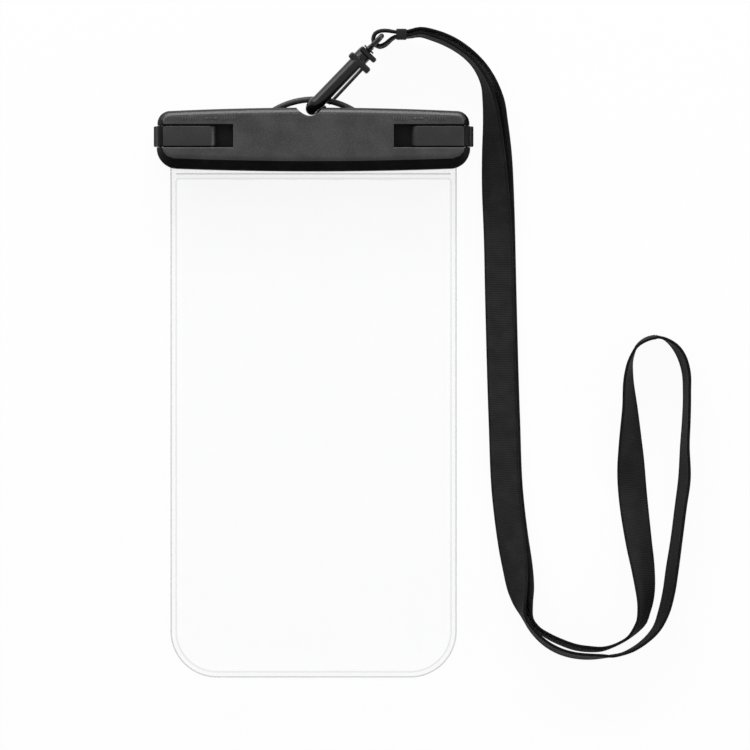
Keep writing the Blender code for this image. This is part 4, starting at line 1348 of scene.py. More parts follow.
    def arrow(self, middle_x: float, length: float) -> bpy.types.Mesh:
        """A small flat arrow with a head at both ends.

        Args:
            middle_x: Its middle.
            length: Its length over both heads.

        Returns:
            The mesh.
        """
        half, head = length / 2, self.arrow_head
        thin, tall = self.arrow_half_line, self.mark_height / 2
        outline = [(-half, 0.0), (head - half, -tall), (head - half, -thin), (half - head, -thin)]
        outline += [(half - head, -tall), (half, 0.0), (half - head, tall), (half - head, thin)]
        outline += [(head - half, thin), (head - half, tall)]
        low_z = self.at.front_face - self.mark_root
        points = [(middle_x + x, self.mark_y + y, low_z) for x, y in outline]
        piece = Piece("arrow", prism_mesh(points, (0, 0, self.mark_root + self.mark_rise)))
        return piece.bevel(self.mark_edge, 2).release()

    def marks(self, material: bpy.types.Material) -> list[bpy.types.Mesh]:
        """The raised marks: rows of plain bars, and an arrow between each two rows.

        Args:
            material: The bars' material, the lighter copy of the plastic that paints a highlight on
                them.

        Returns:
            A mesh for each row and each arrow.
        """
        size = (self.bar_width, self.mark_height, self.mark_root + self.mark_rise)
        middle_z = self.at.front_face + self.mark_rise - size[2] / 2
        made = []
        for x, count in self.bar_rows:
            row = BarRow(count, self.bar_pitch, size, (x, self.mark_y, middle_z), material)
            made.append(row.mesh(self.mark_edge))
        return made + [self.arrow(x, length) for x, length in self.arrows]

    def make_front(self, material: bpy.types.Material) -> Piece:
        """Builds the front half.

        Args:
            material: Material of the raised marks, a lighter copy of the plastic as their painted
                highlight.

        Returns:
            The piece.
        """
        at = self.at
        piece = Piece("clamp_front_half", loft_mesh(self.front_rings()))
        piece.combine(self.marks(material), Cut.JOIN)
        room = at.clamp_half - self.end_skirt
        lip_z, far_z = at.pocket_front_z + FILM / 2 + 2 * GAP, at.rear_depth - MM
        tools = [
            box_mesh((-room, at.lip_y - MM, -MM), (room, at.clamp_top_y + MM, at.front_back)),
            self.pocket(far_z, at.front_plate_front + GAP),
            self.lip(lip_z, at.front_plate_back, far_z),
            self.notch(self.scoop_middle, self.scoop_half_width),
            self.swing_room(),
        ]
        for side in Side:
            tools += self.lever_room(side)
            x, z = side.value * at.knuckle_x, at.knuckle_z
            low = (x, at.lever_low_y - self.pin_room_low, z)
            tools.append(rod_mesh(low, (x, at.lever_high_y + self.pin_room_high, z), self.pin_room))
        return piece.combine(tools, Cut.AWAY).shade(28.0)

    def face_parts(self, mesh: bpy.types.Mesh) -> np.ndarray:
        """Numbers the front half's finishes.

        Args:
            mesh: Its mesh.

        Returns:
            For each polygon 0 on the face and its upper bevel, 1 on the sides, 2 in the finger
            recesses, 3 on the steep rim above the bevel and 4 on top of the marks. 1, 2 and 3 are
            copies of the plastic darkened as painted shade, and 4 a lighter copy as painted
            highlight.
        """
        normals, middles = polygon_values(mesh)
        depth = self.at.front_face - middles[:, 2]
        up, back = normals[:, 2], normals[:, 1] > 0.25
        x, y = np.abs(middles[:, 0]), middles[:, 1]
        inner_x = self.at.lever_inner_end - self.finger_gap - 0.1 * MM
        near = (x > inner_x) & (x < self.finger_far_x)
        inside = (y > self.at.lever_low_y - 2 * GAP) & (y < self.at.lever_high_y + 2 * GAP)
        sunk = (depth > self.face_depth) & (depth < self.finger_depth + MM)
        raised = depth < -0.01 * MM
        # Painted shade on the sides, the finger recesses and the steep rim; painted highlight on
        # the tops of the marks.
        parts = np.ones(len(depth), dtype=np.int32)
        parts[near & inside & sunk] = 2
        parts[(up > 0.4) & back & (depth < self.rim_depth)] = 3
        parts[(up > 0.74) & back & (depth < self.bevel_depth)] = 0
        parts[(up > 0.85) & (depth < self.face_depth)] = 0
        parts[raised] = 0
        parts[raised & (up > 0.5)] = 4
        return parts

    def lever_parts(self, mesh: bpy.types.Mesh) -> np.ndarray:
        """Numbers a lever's materials: 0 on its arm and 1, its painted shade, past the face's end.
        """
        middles = polygon_values(mesh)[1]
        return np.where(np.abs(middles[:, 0]) > self.at.clamp_half - self.shaded_end, 1, 0)

    def make_rear(self) -> Piece:
        """Builds the rear half with its arch.

        Returns:
            The piece.
        """
        at, curve, edge = self.at, self.rear_round, self.rear_edge
        rings = [
            self.ring(0.0, curve + 0.6 * MM, curve + 0.6 * MM, curve + 0.2 * MM),
            self.ring(0.0, curve, curve, curve - 0.4 * MM),
        ]
        for i in range(1, 9):
            turn = math.radians(90 * i / 8)
            inset = curve * (1 - math.sin(turn))
            z = curve * (1 - math.cos(turn))
            rings.append(self.ring(z, inset, inset, self.rear_end_share * inset))
        rings.append(self.ring(at.rear_depth - edge))
        rings.append(self.ring(at.rear_depth, edge, edge, edge))
        piece = Piece("clamp_rear_half", loft_mesh(rings))
        rear_half = at.clamp_half - self.end_skirt - GAP
        far_y, far_z = at.clamp_top_y + MM, at.rear_depth + MM
        tools = [
            self.pocket(at.rear_plate_back - GAP, far_z),
            self.lip(NECK_RISE - GAP, at.rear_plate_front, far_z),
            self.notch(0.0, self.notch_half_width),
        ]
        for side in Side:
            low_x, high_x = sorted((side.value * rear_half, side.value * (at.clamp_half + MM)))
            tools.append(box_mesh((low_x, at.lip_y - MM, -MM), (high_x, far_y, far_z)))
        piece.combine(tools, Cut.AWAY)
        return piece.combine([self.arch()], Cut.JOIN).shade(30.0)

    def arch(self) -> bpy.types.Mesh:
        """The bent rod that the hook hangs on.

        Returns:
            The mesh.
        """
        at = self.at
        rod_y = at.arch_peak_y - self.arch_rod / 2
        share = self.arch_half_span / at.clamp_half
        rise = rod_y - at.clamp_top_y + self.bow_top * share**2
        radius = (self.arch_half_span**2 + rise**2) / (2 * rise)
        reach = math.degrees(math.asin((self.arch_half_span + 2 * self.arch_rod) / radius))
        path = arc((0, rod_y - radius), radius, 90 + reach, 90 - reach, 64)
        points = [Vector((x, y, self.arch_height)) for x, y in path]
        return sweep_mesh(points, [self.arch_rod / 2] * len(points), 32)

    def make_lever(self, side: Side) -> Piece:
        """Builds one end lever: curled tip, flat arm, bend, leg and knuckle.

        Args:
            side: The clamp's end.

        Returns:
            The piece.
        """
        at, sign = self.at, side.value
        x, z, radius = at.knuckle_x, at.knuckle_z, at.knuckle_radius
        thick, bend, curl = self.lever_thickness, self.lever_bend, self.lever_curl
        end_x, top = at.clamp_half, at.lever_top
        curl_x, bend_x = at.lever_inner_end + curl, end_x - bend
        tip_z = top - curl - self.lever_tip_drop
        outline = [(at.lever_inner_end, tip_z)]
        outline += arc((curl_x, top - curl), curl, 180, 90, 16)
        outline += arc((bend_x, top - bend), bend, 90, 0, 18)
        outline += [(end_x, z + radius + self.lever_leg_end)]
        outline += arc((x, z), radius, 35, -235, 48)
        outline += [(end_x - thick, z + radius + self.lever_leg_root)]
        outline += arc((bend_x, top - bend), bend - thick, 0, 90, 12)
        outline += arc((curl_x, top - curl), curl - thick, 90, 180, 10)
        outline += [(at.lever_inner_end + thick, tip_z)]
        points = [(sign * px, at.lever_low_y, pz) for px, pz in outline]
        mesh = prism_mesh(points, (0, at.lever_high_y - at.lever_low_y, 0))
        piece = Piece(f"lever_{side.name.lower()}", mesh)
        piece.bevel(self.lever_edge, 4, 50)
        start, end = (sign * x, at.lever_low_y - MM, z), (sign * x, at.lever_high_y + MM, z)
        piece.combine([rod_mesh(start, end, self.pin_room)], Cut.AWAY)
        return piece.shade(30.0)

    def make(self) -> None:
        """Builds the clamp and puts its pieces on their bodies."""
        # The face's plastic, then copies darkened as painted shade for the sides, finger recesses
        # and steep rim, and a lighter copy as painted highlight for the tops of the marks.
        tones = (CLAMP_FACE, CLAMP_SIDE_SHADE, CLAMP_RECESS_SHADE, CLAMP_RIM_SHADE, CLAMP_MARK_HIGHLIGHT)
        finishes = [tone.build() for tone in tones]
        front = self.make_front(finishes[-1])
        which = self.face_parts(front.object.data)
        front.finish(finishes, "front_clamp", "clamp_plastic", ["front_shell"], which)
        self.make_rear().finish([REAR_SATIN.build()], "pouch", "clamp_plastic", ["rear_shell"])
        # The lever's satin, and a near-black copy of it as painted shade past the face's end.
        satin = [LEVER_SATIN.build(), LEVER_END_SHADE.build()]
        for side in Side:
            word = side.name.lower()
            lever = self.make_lever(side)
            which = self.lever_parts(lever.object.data)
            lever.finish(satin, f"{word}_latch", "clamp_plastic", [f"{word}_lever"], which)


# The film bag


@dataclass(frozen=True)
class Bag:
    """The bag's sheets, on rows that run round it parallel to its welded edge."""

    at: Layout
    corner: float = 16.0 * MM
    weld_width: float = 2.0 * MM
    weld_height: float = 4.9 * MM
    shoulder: float = 6.0 * MM
    wall: float = 3.6 * MM
    pressed_y: float = 71.9 * MM
    pressed_corner: float = 1.0 * MM
    fold_gap: float = 0.2 * MM
    wave: float = 0.14 * MM
    near_pitch: float = 0.12 * MM
    side_rows: int = 84
    top_rows: int = 30
    corner_rows: int = 24
    end_rows: int = 40
    neck_rows: int = 24

    def fill(self, inset: float) -> float:
        """How far the pocket is filled out: 0 on the weld, 1 over the flat."""
        return smoothstep((inset - self.weld_width) / self.shoulder)

    def height(self, side: int, y: float, inset: float) -> float:
        """Height of a sheet's middle.

        Args:
            side: 1 for the front sheet, -1 for the back one.
            y: Place along the bag.
            inset: Distance from the bag's edge.

        Returns:
            The height.
        """
        at = self.at
        back_z = FILM / 2
        lip_middle = (back_z + NECK_RISE + at.pocket_front_z) / 2
        neck = smoothstep((y - (at.lip_y - 22 * MM)) / (22 * MM))
        weld = self.weld_height + (lip_middle - self.weld_height) * neck
        weld += side * (FILM + GAP) / 2
        flat = at.pocket_front_z
        inner = at.front_plate_back - GAP - FILM / 2
        if side < 0:
            flat = back_z + NECK_RISE * smoothstep((y - (at.lip_y - 8 * MM)) / (8 * MM))
            inner = at.rear_plate_front + GAP + FILM / 2
        height = weld + (flat - weld) * self.fill(inset)
        return height + (inner - height) * smoothstep((y - at.lip_y) / (self.wall + GAP))

    def row(self, inset: float, top_y: float) -> list[Spread]:
        """One row at a distance from the bag's edge: down a side, round the end and up again.

        Args:
            inset: The distance.
            top_y: Where the row starts and ends.

        Returns:
            Its points, as x and y.
        """
        at = self.at
        half = at.film_half - inset
        low = at.bag_end_y + inset
        radius = min(max(self.corner - inset, 0.0), half)
        middle = low + radius
        near = self.near_pitch * self.top_rows
        side = [top_y - near * i / self.top_rows for i in range(self.top_rows)]
        run = top_y - near - middle
        side += [top_y - near - run * i / self.side_rows for i in range(self.side_rows)]
        points = [(-half, y) for y in side]
        points += arc((-half + radius, middle), radius, 180, 270, self.corner_rows)
        width = 2 * (half - radius)
        points += [
            (-half + radius + width * i / self.end_rows, low) for i in range(1, self.end_rows)
        ]
        points += arc((half - radius, middle), radius, 270, 360, self.corner_rows)
        points += [(half, y) for y in side[::-1]]
        return points

    def insets(self) -> list[float]:
        """Distances of the rows from the edge: close together over the weld and shoulder."""
        near = [0.0, 0.06, 0.12, 0.2, 0.3, 0.42, 0.55, 0.8, 1.1, 1.4, 1.55, 1.65, 1.75, 1.85]
        near += [1.95, 2.05, 2.15, 2.25, 2.35, 2.5, 2.8]
        near += [3.1 + 0.54 * i for i in range(10)]
        far = np.arange(9.0, self.at.film_half / MM - 1.0, 2.4)
        return [value * MM for value in (*near, *far)] + [self.at.film_half]

    def make_sheet(self, name: str, side: int) -> Piece:
        """Builds one whole sheet with its real thickness.

        Args:
            name: The piece's name.
            side: 1 for the front sheet, -1 for the back one.

        Returns:
            The piece.
        """
        at = self.at
        top_y = at.lip_y - self.fold_gap if side > 0 else at.plate_high_y

        def build(shape: bmesh.types.BMesh) -> None:
            """Fills the bmesh with the sheet's rows.

            Args:
                shape: The bmesh.
            """
            layer = shape.verts.layers.float.new("edge_distance")
            rows = []
            for inset in self.insets():
                row = []
                for x, y in self.row(inset, top_y):
                    z = self.height(side, y, inset) + self.fill(inset) * self.ripple(x, y, side)
                    vertex = shape.verts.new((x, y, z))
                    vertex[layer] = inset
                    row.append(vertex)
                rows.append(row)
            for outer, inner in zip(rows, rows[1:]):
                for i in range(len(outer) - 1):
                    shape.faces.new((outer[i], outer[i + 1], inner[i + 1], inner[i]))
            bmesh.ops.remove_doubles(shape, verts=shape.verts[:], dist=0.01 * MM)

        return self.thicken(Piece(name, mesh_from(name, build)))

    def make_neck(self) -> Piece:
        """Builds the front sheet's top edge, which the front half holds.

        Returns:
            The piece.
        """
        at = self.at

        def build(shape: bmesh.types.BMesh) -> None:
            """Fills the bmesh with lines across the neck.

            Args:
                shape: The bmesh.
            """
            layer = shape.verts.layers.float.new("edge_distance")
            insets = self.insets()
            shares = [(-at.film_half + inset, inset) for inset in insets]
            shares += [(at.film_half - inset, inset) for inset in insets[-2::-1]]
            lines = []
            for i in range(self.neck_rows + 1):
                y = at.lip_y + (at.plate_high_y - at.lip_y) * (i / self.neck_rows) ** 1.6
                line = []
                for x, inset in shares:
                    vertex = shape.verts.new((x, y, self.height(1, y, inset)))
                    vertex[layer] = inset
                    line.append(vertex)
                lines.append(line)
            for lower, upper in zip(lines, lines[1:]):
                for i in range(len(lower) - 1):
                    shape.faces.new((lower[i], lower[i + 1], upper[i + 1], upper[i]))

        return self.thicken(Piece("film_front_neck", mesh_from("film_front_neck", build)))

    def ripple(self, x: float, y: float, side: int) -> float:
        """Slight waves of the soft film, dying away towards the clamp.

        Args:
            x: Place across the bag.
            y: Place along it.
            side: 1 for the front sheet, -1 for the back one.

        Returns:
            The wave's height.
        """
        place = Vector((x / (34 * MM), y / (52 * MM), 3.7 * side))
        calm = smoothstep((self.at.lip_y - 6 * MM - y) / (20 * MM))
        wave = self.wave * noise.noise(place)
        if side < 0:
            wave = max(wave, 0.0)
        return calm * wave

    def thicken(self, piece: Piece) -> Piece:
        """Gives an open sheet its thickness, and the distances that its pressed lines follow.

        Args:
            piece: The sheet.

        Returns:
            The same piece.
        """
        wall = piece.object.modifiers.new("film", "SOLIDIFY")
        wall.thickness = FILM
        wall.offset = 0.0
        mesh = piece.apply().object.data
        y = point_values(mesh)[:, 1]
        inset = np.empty(len(mesh.vertices), dtype=np.float32)
        mesh.attributes["edge_distance"].data.foreach_get("value", inset)
        turn = self.pressed_corner
        sides = np.maximum(turn - (inset - self.weld_width), 0.0)
        top = np.maximum(turn - (self.pressed_y - y), 0.0)
        keep_value(mesh, "rim_distance", turn - np.hypot(sides, top))
        keep_value(mesh, "lip_distance", self.at.lip_y - y)
        return piece.shade(50.0)

    def make(self) -> None:
        """Builds the sheets and puts them on their bodies."""
        film = ClearFilm().build()
        sheets = (
            (self.make_sheet("film_back", -1), "pouch", "back_sheet"),
            (self.make_sheet("film_front", 1), "pouch", "front_sheet"),
            (self.make_neck(), "front_clamp", "front_sheet_neck"),
        )
        for piece, body, node in sheets:
            piece.finish([film], body, "clear_film", [node])


# The snap hook


def hook_point(along: float, across: float, height: float) -> Vector:
    """A place given along the hook's axis, across it and above the floor."""
    axis = Vector((math.cos(HOOK_ANGLE), math.sin(HOOK_ANGLE), 0))
    side = Vector((math.sin(HOOK_ANGLE), -math.cos(HOOK_ANGLE), 0))
    return HOOK_TIP + axis * along + side * across + Vector((0, 0, height))


def hook_block(low: Sequence[float], high: Sequence[float], corner: float) -> bpy.types.Mesh:
    """A rounded block set square to the hook.

    Args:
        low: Lowest along, across and height.
        high: Highest along, across and height.
        corner: Radius of its edges.

    Returns:
        The mesh.
    """
    mesh = Piece("block", box_mesh(low, high)).bevel(corner, 5).release()
    mirror = Matrix(((1, 0, 0, 0), (0, -1, 0, 0), (0, 0, 1, 0), (0, 0, 0, 1)))
    turn = Matrix.Rotation(HOOK_ANGLE, 4, "Z")
    mesh.transform(Matrix.Translation(HOOK_TIP) @ turn @ mirror)
    mesh.flip_normals()
    return mesh


def hook_rod(start: float, end: float, radius: float, segments: int = 64) -> bpy.types.Mesh:
    """A round bar along the swivel's axis."""
    return rod_mesh(
        hook_point(start, 0, EYE_HEIGHT), hook_point(end, 0, EYE_HEIGHT), radius, segments
    )


@dataclass(frozen=True)
class SnapHook:
    """The hook with its gate, and the eye that turns in its head."""

    shank_radius: float = 2.36 * MM
    shank_height: float = 9.55 * MM
    crook_start: float = 2.6 * MM
    crook_reach: float = 3.6 * MM
    crook_drop: float = 8.2 * MM
    crook_side: float = 2.6 * MM
    crook_bulge: float = 1.0 * MM
    crook_radius: float = 1.75 * MM
    crook_end_radius: float = 0.85 * MM
    collar_start: float = 21.0 * MM
    collar_length: float = 2.3 * MM
    collar_low: float = 0.9 * MM
    collar_high: float = 11.7 * MM
    collar_left: float = 3.6 * MM
    collar_right: float = 5.4 * MM
    collar_corner: float = 0.7 * MM
    boss_radius: float = 2.7 * MM
    head_start: float = 25.4 * MM
    head_end: float = 27.2 * MM
    head_left: float = 2.5 * MM
    head_right: float = 4.5 * MM
    head_half_height: float = 3.4 * MM
    head_corner: float = 0.6 * MM
    boss_inset: float = 0.5 * MM
    body_voxel: float = 0.12 * MM
    body_rounds: int = 9
    bore_depth: float = 5.6 * MM
    gate_radius: float = 0.6 * MM
    gate_height: float = 1.5 * MM
    gate_bow: Spread = (0.3 * MM, 0.5 * MM)
    gate_lift: float = 0.2 * MM
    pivot_along: float = 22.15 * MM
    pivot_side: float = 2.9 * MM
    pivot_height: float = 2.1 * MM
    root_radius: float = 1.1 * MM
    root_width: float = 2.0 * MM
    pin_room: float = 0.55 * MM
    eye_rod: float = 1.7 * MM
    eye_opening: float = 10.6 * MM
    eye_length: float = 4.9 * MM
    eye_start: float = 29.2 * MM
    eye_corner: float = 1.3 * MM
    stem_radius: float = 1.1 * MM
    flange_radius: float = 2.1 * MM
    flange_thickness: float = 0.6 * MM
    stem_play: float = 0.1 * MM
    eye_voxel: float = 0.1 * MM
    eye_rounds: int = 6

    def body_path(self) -> tuple[list[Vector], list[float]]:
        """Centre line and radius of the shank and the crook.

        Returns:
            The points, and a radius for each.
        """
        points = []
        radii = []
        run = self.crook_start - self.collar_start - MM
        for i in range(12):
            points.append(hook_point(self.collar_start + MM + run * i / 12, 0, self.shank_height))
            radii.append(self.shank_radius)
        for i in range(37):
            turn = math.pi * i / 36
            share = (1 - math.cos(turn)) / 2
            along = self.crook_start - self.crook_reach * math.sin(turn)
            across = self.crook_side * share - self.crook_bulge * math.sin(turn)
            points.append(hook_point(along, across, self.shank_height - self.crook_drop * share))
            widths = (self.shank_radius, self.crook_radius, self.crook_end_radius)
            radii.append(float(np.interp(share, (0.0, 0.5, 1.0), widths)))
        end_height = self.shank_height - self.crook_drop
        for reach, share in ((0.4, 0.97), (0.75, 0.85), (1.0, 0.6)):
            along = self.crook_start + reach * self.crook_end_radius
            points.append(hook_point(along, self.crook_side, end_height))
            radii.append(share * self.crook_end_radius)
        return points, radii

    def make_body(self) -> Piece:
        """Builds shank, crook, collar, boss and head as one moulding.

        Returns:
            The piece.
        """
        piece = Piece("snap_hook_body", sweep_mesh(*self.body_path(), 40))
        collar_end = self.collar_start + self.collar_length
        collar = hook_block(
            (self.collar_start, -self.collar_left, self.collar_low),
            (collar_end, self.collar_right, self.collar_high), self.collar_corner,
        )
        half = self.head_half_height
        head = hook_block(
            (self.head_start, -self.head_left, EYE_HEIGHT - half),
            (self.head_end, self.head_right, EYE_HEIGHT + half), self.head_corner,
        )
        middle = (self.head_start + self.head_end) / 2
        boss = hook_rod(self.collar_start + self.boss_inset, middle, self.boss_radius)
        piece.combine([collar, boss, head], Cut.JOIN)
        piece.melt(self.body_voxel, self.body_rounds)
        play, reach = self.root_width / 2 + GAP, self.root_radius + GAP
        slot = hook_block(
            (self.collar_start - MM, self.pivot_side - play, -MM),
            (self.pivot_along + reach, self.pivot_side + play, self.pivot_height + reach),
            0.1 * MM,
        )
        bore_radius = self.stem_radius + self.stem_play
        bore = hook_rod(self.head_end - self.bore_depth, self.head_end + MM, bore_radius)
        pin_room = self.across_rod(
            self.pivot_side - play - MM - GAP, self.collar_right + MM, self.pin_room
        )
        return piece.combine([slot, bore, pin_room], Cut.AWAY).shade(40.0)

    def across_rod(self, start: float, end: float, radius: float) -> bpy.types.Mesh:
        """A round bar through the gate's pivot, across the hook.

        Args:
            start: Where it starts, across the hook.
            end: Where it ends.
            radius: Its radius.

        Returns:
            The mesh.
        """
        return rod_mesh(
            hook_point(self.pivot_along, start, self.pivot_height),
            hook_point(self.pivot_along, end, self.pivot_height),
            radius,
        )

    def make_gate(self) -> Piece:
        """Builds the thin sprung gate with its round root.

        Returns:
            The piece.
        """
        start = self.crook_start + 2 * self.crook_end_radius + GAP
        middle = (start + self.pivot_along) / 2
        near_bow, far_bow = self.gate_bow
        across = (self.crook_side + self.pivot_side) / 2 + near_bow
        known = (
            hook_point(start, self.crook_side + near_bow, self.gate_height),
            hook_point(start + 2 * MM, self.crook_side + far_bow, self.gate_height),
            hook_point(middle, across, self.gate_height),
            hook_point(self.pivot_along, self.pivot_side, self.gate_height + self.gate_lift),
        )
        path = smooth_path(known, 10)
        radii = [self.gate_radius * min(1.0, 0.7 + 0.1 * i) for i in range(len(path))]
        piece = Piece("snap_hook_gate", sweep_mesh(path, radii, 24))
        side, half = self.pivot_side, self.root_width / 2
        piece.combine([self.across_rod(side - half, side + half, self.root_radius)], Cut.JOIN)
        bore = self.across_rod(side - 2 * half, side + 2 * half, self.pin_room)
        return piece.combine([bore], Cut.AWAY).shade(35.0)

    def make_eye(self) -> Piece:
        """Builds the D-shaped eye with its flange and stem.

        Returns:
            The piece.
        """
        rod, corner = self.eye_rod / 2, self.eye_corner
        near, far = self.eye_start, self.eye_start + self.eye_length
        top = self.eye_opening / 2 + rod
        outline = arc((far - corner, top - corner), corner, 90, 0, 8)
        outline += arc((far - corner, corner - top), corner, 0, -90, 8)
        outline += arc((near + corner, corner - top), corner, -90, -180, 8)
        outline += arc((near + corner, top - corner), corner, 180, 90, 8)
        points = [hook_point(along, 0, EYE_HEIGHT + up) for along, up in outline]
        piece = Piece("snap_hook_eye", sweep_mesh(points, [rod] * len(points), 24, cyclic=True))
        seat = self.head_end + GAP
        stem = hook_rod(self.head_end - self.bore_depth + GAP, near, self.stem_radius)
        flange = hook_rod(seat, seat + self.flange_thickness, self.flange_radius)
        piece.combine([stem, flange], Cut.JOIN)
        return piece.melt(self.eye_voxel, self.eye_rounds).shade(40.0)

    def make(self) -> None:
        """Builds the hook's pieces and puts them on their bodies."""
        gloss = HOOK_GLOSS.build()
        self.make_body().finish([gloss], "hook", "hook_plastic", ["hook_body"])
        self.make_gate().finish([gloss], "gate", "hook_plastic", ["hook_gate"])
        self.make_eye().finish([gloss], "swivel", "hook_plastic", ["swivel_eye"])


# The strap


@dataclass(frozen=True)
class Spot:
    """One place on a ribbon: its middle, and its lean in radians."""

    place: Vector
    lean: float


@dataclass(frozen=True)
class Ribbon:
    """A flat woven ribbon along a route."""

    name: str
    route: tuple[Point, ...]
    lift: float = 0.0
    step: float = 1.6
    hem: float = 1.1 * MM

    def spots(self) -> list[Spot]:
        """Places on a smooth curve through the route.

        Returns:
            The places.
        """
        knots = [Vector(knot) for knot in self.route]
        runs = [(b - a).xy.length for a, b in zip(knots, knots[1:])]
        slopes = [(knots[1] - knots[0]) / runs[0]]
        for i in range(1, len(runs)):
            before = (knots[i] - knots[i - 1]) / runs[i - 1]
            after = (knots[i + 1] - knots[i]) / runs[i]
            slopes.append((before * runs[i] + after * runs[i - 1]) / (runs[i - 1] + runs[i]))
        slopes.append((knots[-1] - knots[-2]) / runs[-1])
        spots = []
        for i, run in enumerate(runs):
            count = max(2, math.ceil(run / self.step))
            for t in (step / count for step in range(count)):
                spot = knots[i] * (1 + 2 * t) * (1 - t) ** 2 + slopes[i] * run * t * (1 - t) ** 2
                spot += knots[i + 1] * t * t * (3 - 2 * t) - slopes[i + 1] * run * t * t * (1 - t)
                spots.append(self.settle(spot))
        spots.append(self.settle(knots[-1]))
        return spots

    def settle(self, spot: Vector) -> Spot:
        """Gives a place on the route its height: on the floor, or held by the eye.

        Args:
            spot: x and y in millimetres and the lean in degrees.

        Returns:
            The place, in metres.
        """
        x, y, lean = spot
        turn = math.radians(abs(lean))
        height = (STRAP_WIDTH * math.cos(turn) + STRAP_THICKNESS * math.sin(turn)) / 2
        height += self.lift * smoothstep((abs(lean) - 25) / 45) + FLOOR_PLAY
        if y > 100:
            height += (EYE_HEIGHT - height) * smoothstep((54 - x) / 18)
        return Spot(Vector((x * MM, y * MM, height)), math.radians(lean))

    def section(self) -> list[Spread]:
        """The ribbon's section: across and through, with a firmer selvedge at both edges.

        Returns:
            Its outline.
        """
        half = STRAP_WIDTH / 2
        thick = STRAP_THICKNESS / 2
        thin = 0.8 * thick
        face = [(-half + thick, thick), (-half + self.hem, thick), (-half + 1.4 * self.hem, thin)]
        face += [(-0.4 * half + 0.8 * half * i / 4, thin) for i in range(5)]
        face += [(-a, t) for a, t in face[2::-1]]
        around = face + arc((half - thick, 0), thick, 90, -90, 6)[1:-1]
        around += [(a, -t) for a, t in face[::-1]]
        around += arc((-half + thick, 0), thick, 270, 90, 6)[1:-1]
        return around

    def make(self, spots: Sequence[Spot]) -> Piece:
        """Builds the ribbon with its length and width kept as UV, in metres.

        Args:
            spots: Places along its middle.

        Returns:
            The piece.
        """
        section = self.section()
        rings = []
        lengths = [0.0]
        for before, after in zip(spots, spots[1:]):
            lengths.append(lengths[-1] + (after.place - before.place).length)
        for i, spot in enumerate(spots):
            after = spots[min(i + 1, len(spots) - 1)].place
            tangent = (after - spots[max(i - 1, 0)].place).normalized()
            left = Vector((0, 0, 1)).cross(tangent).normalized()
            upright = tangent.cross(left)
            width = upright * math.cos(spot.lean) + left * math.sin(spot.lean)
            through = tangent.cross(width)
            rings.append([tuple(spot.place + width * a + through * t) for a, t in section])
        LOG.info("%s is %.1f mm long", self.name, lengths[-1] / MM)

        def build(shape: bmesh.types.BMesh) -> None:
            """Fills the bmesh with the rings, and lays out the UV map.

            Args:
                shape: The bmesh.
            """
            layer = shape.loops.layers.uv.new("UVMap")
            rows = [[shape.verts.new(point) for point in ring] for ring in rings]
            size = len(section)
            for i, (lower, upper) in enumerate(zip(rows, rows[1:])):
                along = (lengths[i], lengths[i], lengths[i + 1], lengths[i + 1])
                for k in range(size):
                    n = (k + 1) % size
                    face = shape.faces.new((lower[k], lower[n], upper[n], upper[k]))
                    across = (section[k][0], section[n][0], section[n][0], section[k][0])
                    for loop, u, v in zip(face.loops, along, across):
                        loop[layer].uv = (u, v + STRAP_WIDTH / 2)
            for ring, length in ((rows[0][::-1], 0.0), (rows[-1], lengths[-1])):
                for loop in shape.faces.new(ring).loops:
                    loop[layer].uv = (length, STRAP_WIDTH / 2)

        mesh = mesh_from(self.name, build)
        # flatness is 1 where the ribbon lies flat and 0 on edge; the woven finish uses it to paint
        # shade on the on-edge parts.
        flatness = np.repeat([smoothstep(abs(math.sin(spot.lean))) for spot in spots], len(section))
        keep_value(mesh, "flatness", flatness)
        return Piece(self.name, mesh).shade(50.0)


@dataclass(frozen=True)
class Strap:
    """The strap's two strands, the small loop through the eye, and the crimp."""

    strand_length: float = 0.375
    crimp_length: float = 3.6 * MM
    crimp_thickness: float = 3.6 * MM
    crimp_height: float = 11.2 * MM
    crimp_x: float = 30.3 * MM
    crimp_y: float = 121.7 * MM
    crimp_edge: float = 0.4 * MM
    groove_count: int = 3
    groove_pitch: float = 0.95 * MM
    groove_width: float = 0.4 * MM
    groove_depth: float = 0.3 * MM
    groove_edge: float = 0.08 * MM

    def make_crimp(self, material: bpy.types.Material) -> Piece:
        """Builds the crimp: a clip with rounded edges and pressed grooves on both faces.

        Args:
            material: Its finish.

        Returns:
            The piece.
        """
        half = Vector((self.crimp_length, self.crimp_thickness, self.crimp_height)) / 2
        middle = Vector((self.crimp_x, self.crimp_y, EYE_HEIGHT))
        piece = Piece("strap_crimp_clip", box_mesh(middle - half, middle + half))
        piece.bevel(self.crimp_edge, 4)
        size = (self.groove_width, 2 * self.groove_depth, 0.7 * self.crimp_height)
        grooves = []
        for y in (middle.y - half.y, middle.y + half.y):
            place = (middle.x, y, middle.z)
            row = BarRow(self.groove_count, self.groove_pitch, size, place, material)
            grooves.append(row.mesh(self.groove_edge))
        return piece.combine(grooves, Cut.AWAY).shade(35.0)

    def make(self) -> None:
        """Builds the strap and its strands."""
        woven = WovenRibbon().build()
        eye_loop = Ribbon("strap_eye_ribbon", EYE_LOOP_ROUTE)
        loop = eye_loop.make(eye_loop.spots())
        loop.finish([woven], "swivel", "strap", ["strap_eye_loop"])
        matt = CRIMP_MATT.build()
        crimp = self.make_crimp(matt)
        crimp.finish([matt], "swivel", "hook_plastic", ["strap_crimp"])
        strands = {
            "outer": Ribbon("strap_outer_ribbon", OUTER_ROUTE),
            "inner": Ribbon("strap_inner_ribbon", INNER_ROUTE, STRAP_THICKNESS + 2 * GAP),
        }
        for word, ribbon in strands.items():
            spots = ribbon.spots()
            piece = ribbon.make(spots)
            piece.finish([woven], "swivel", "strap", [f"strap_{word}_strand"])


# Camera, floor and light


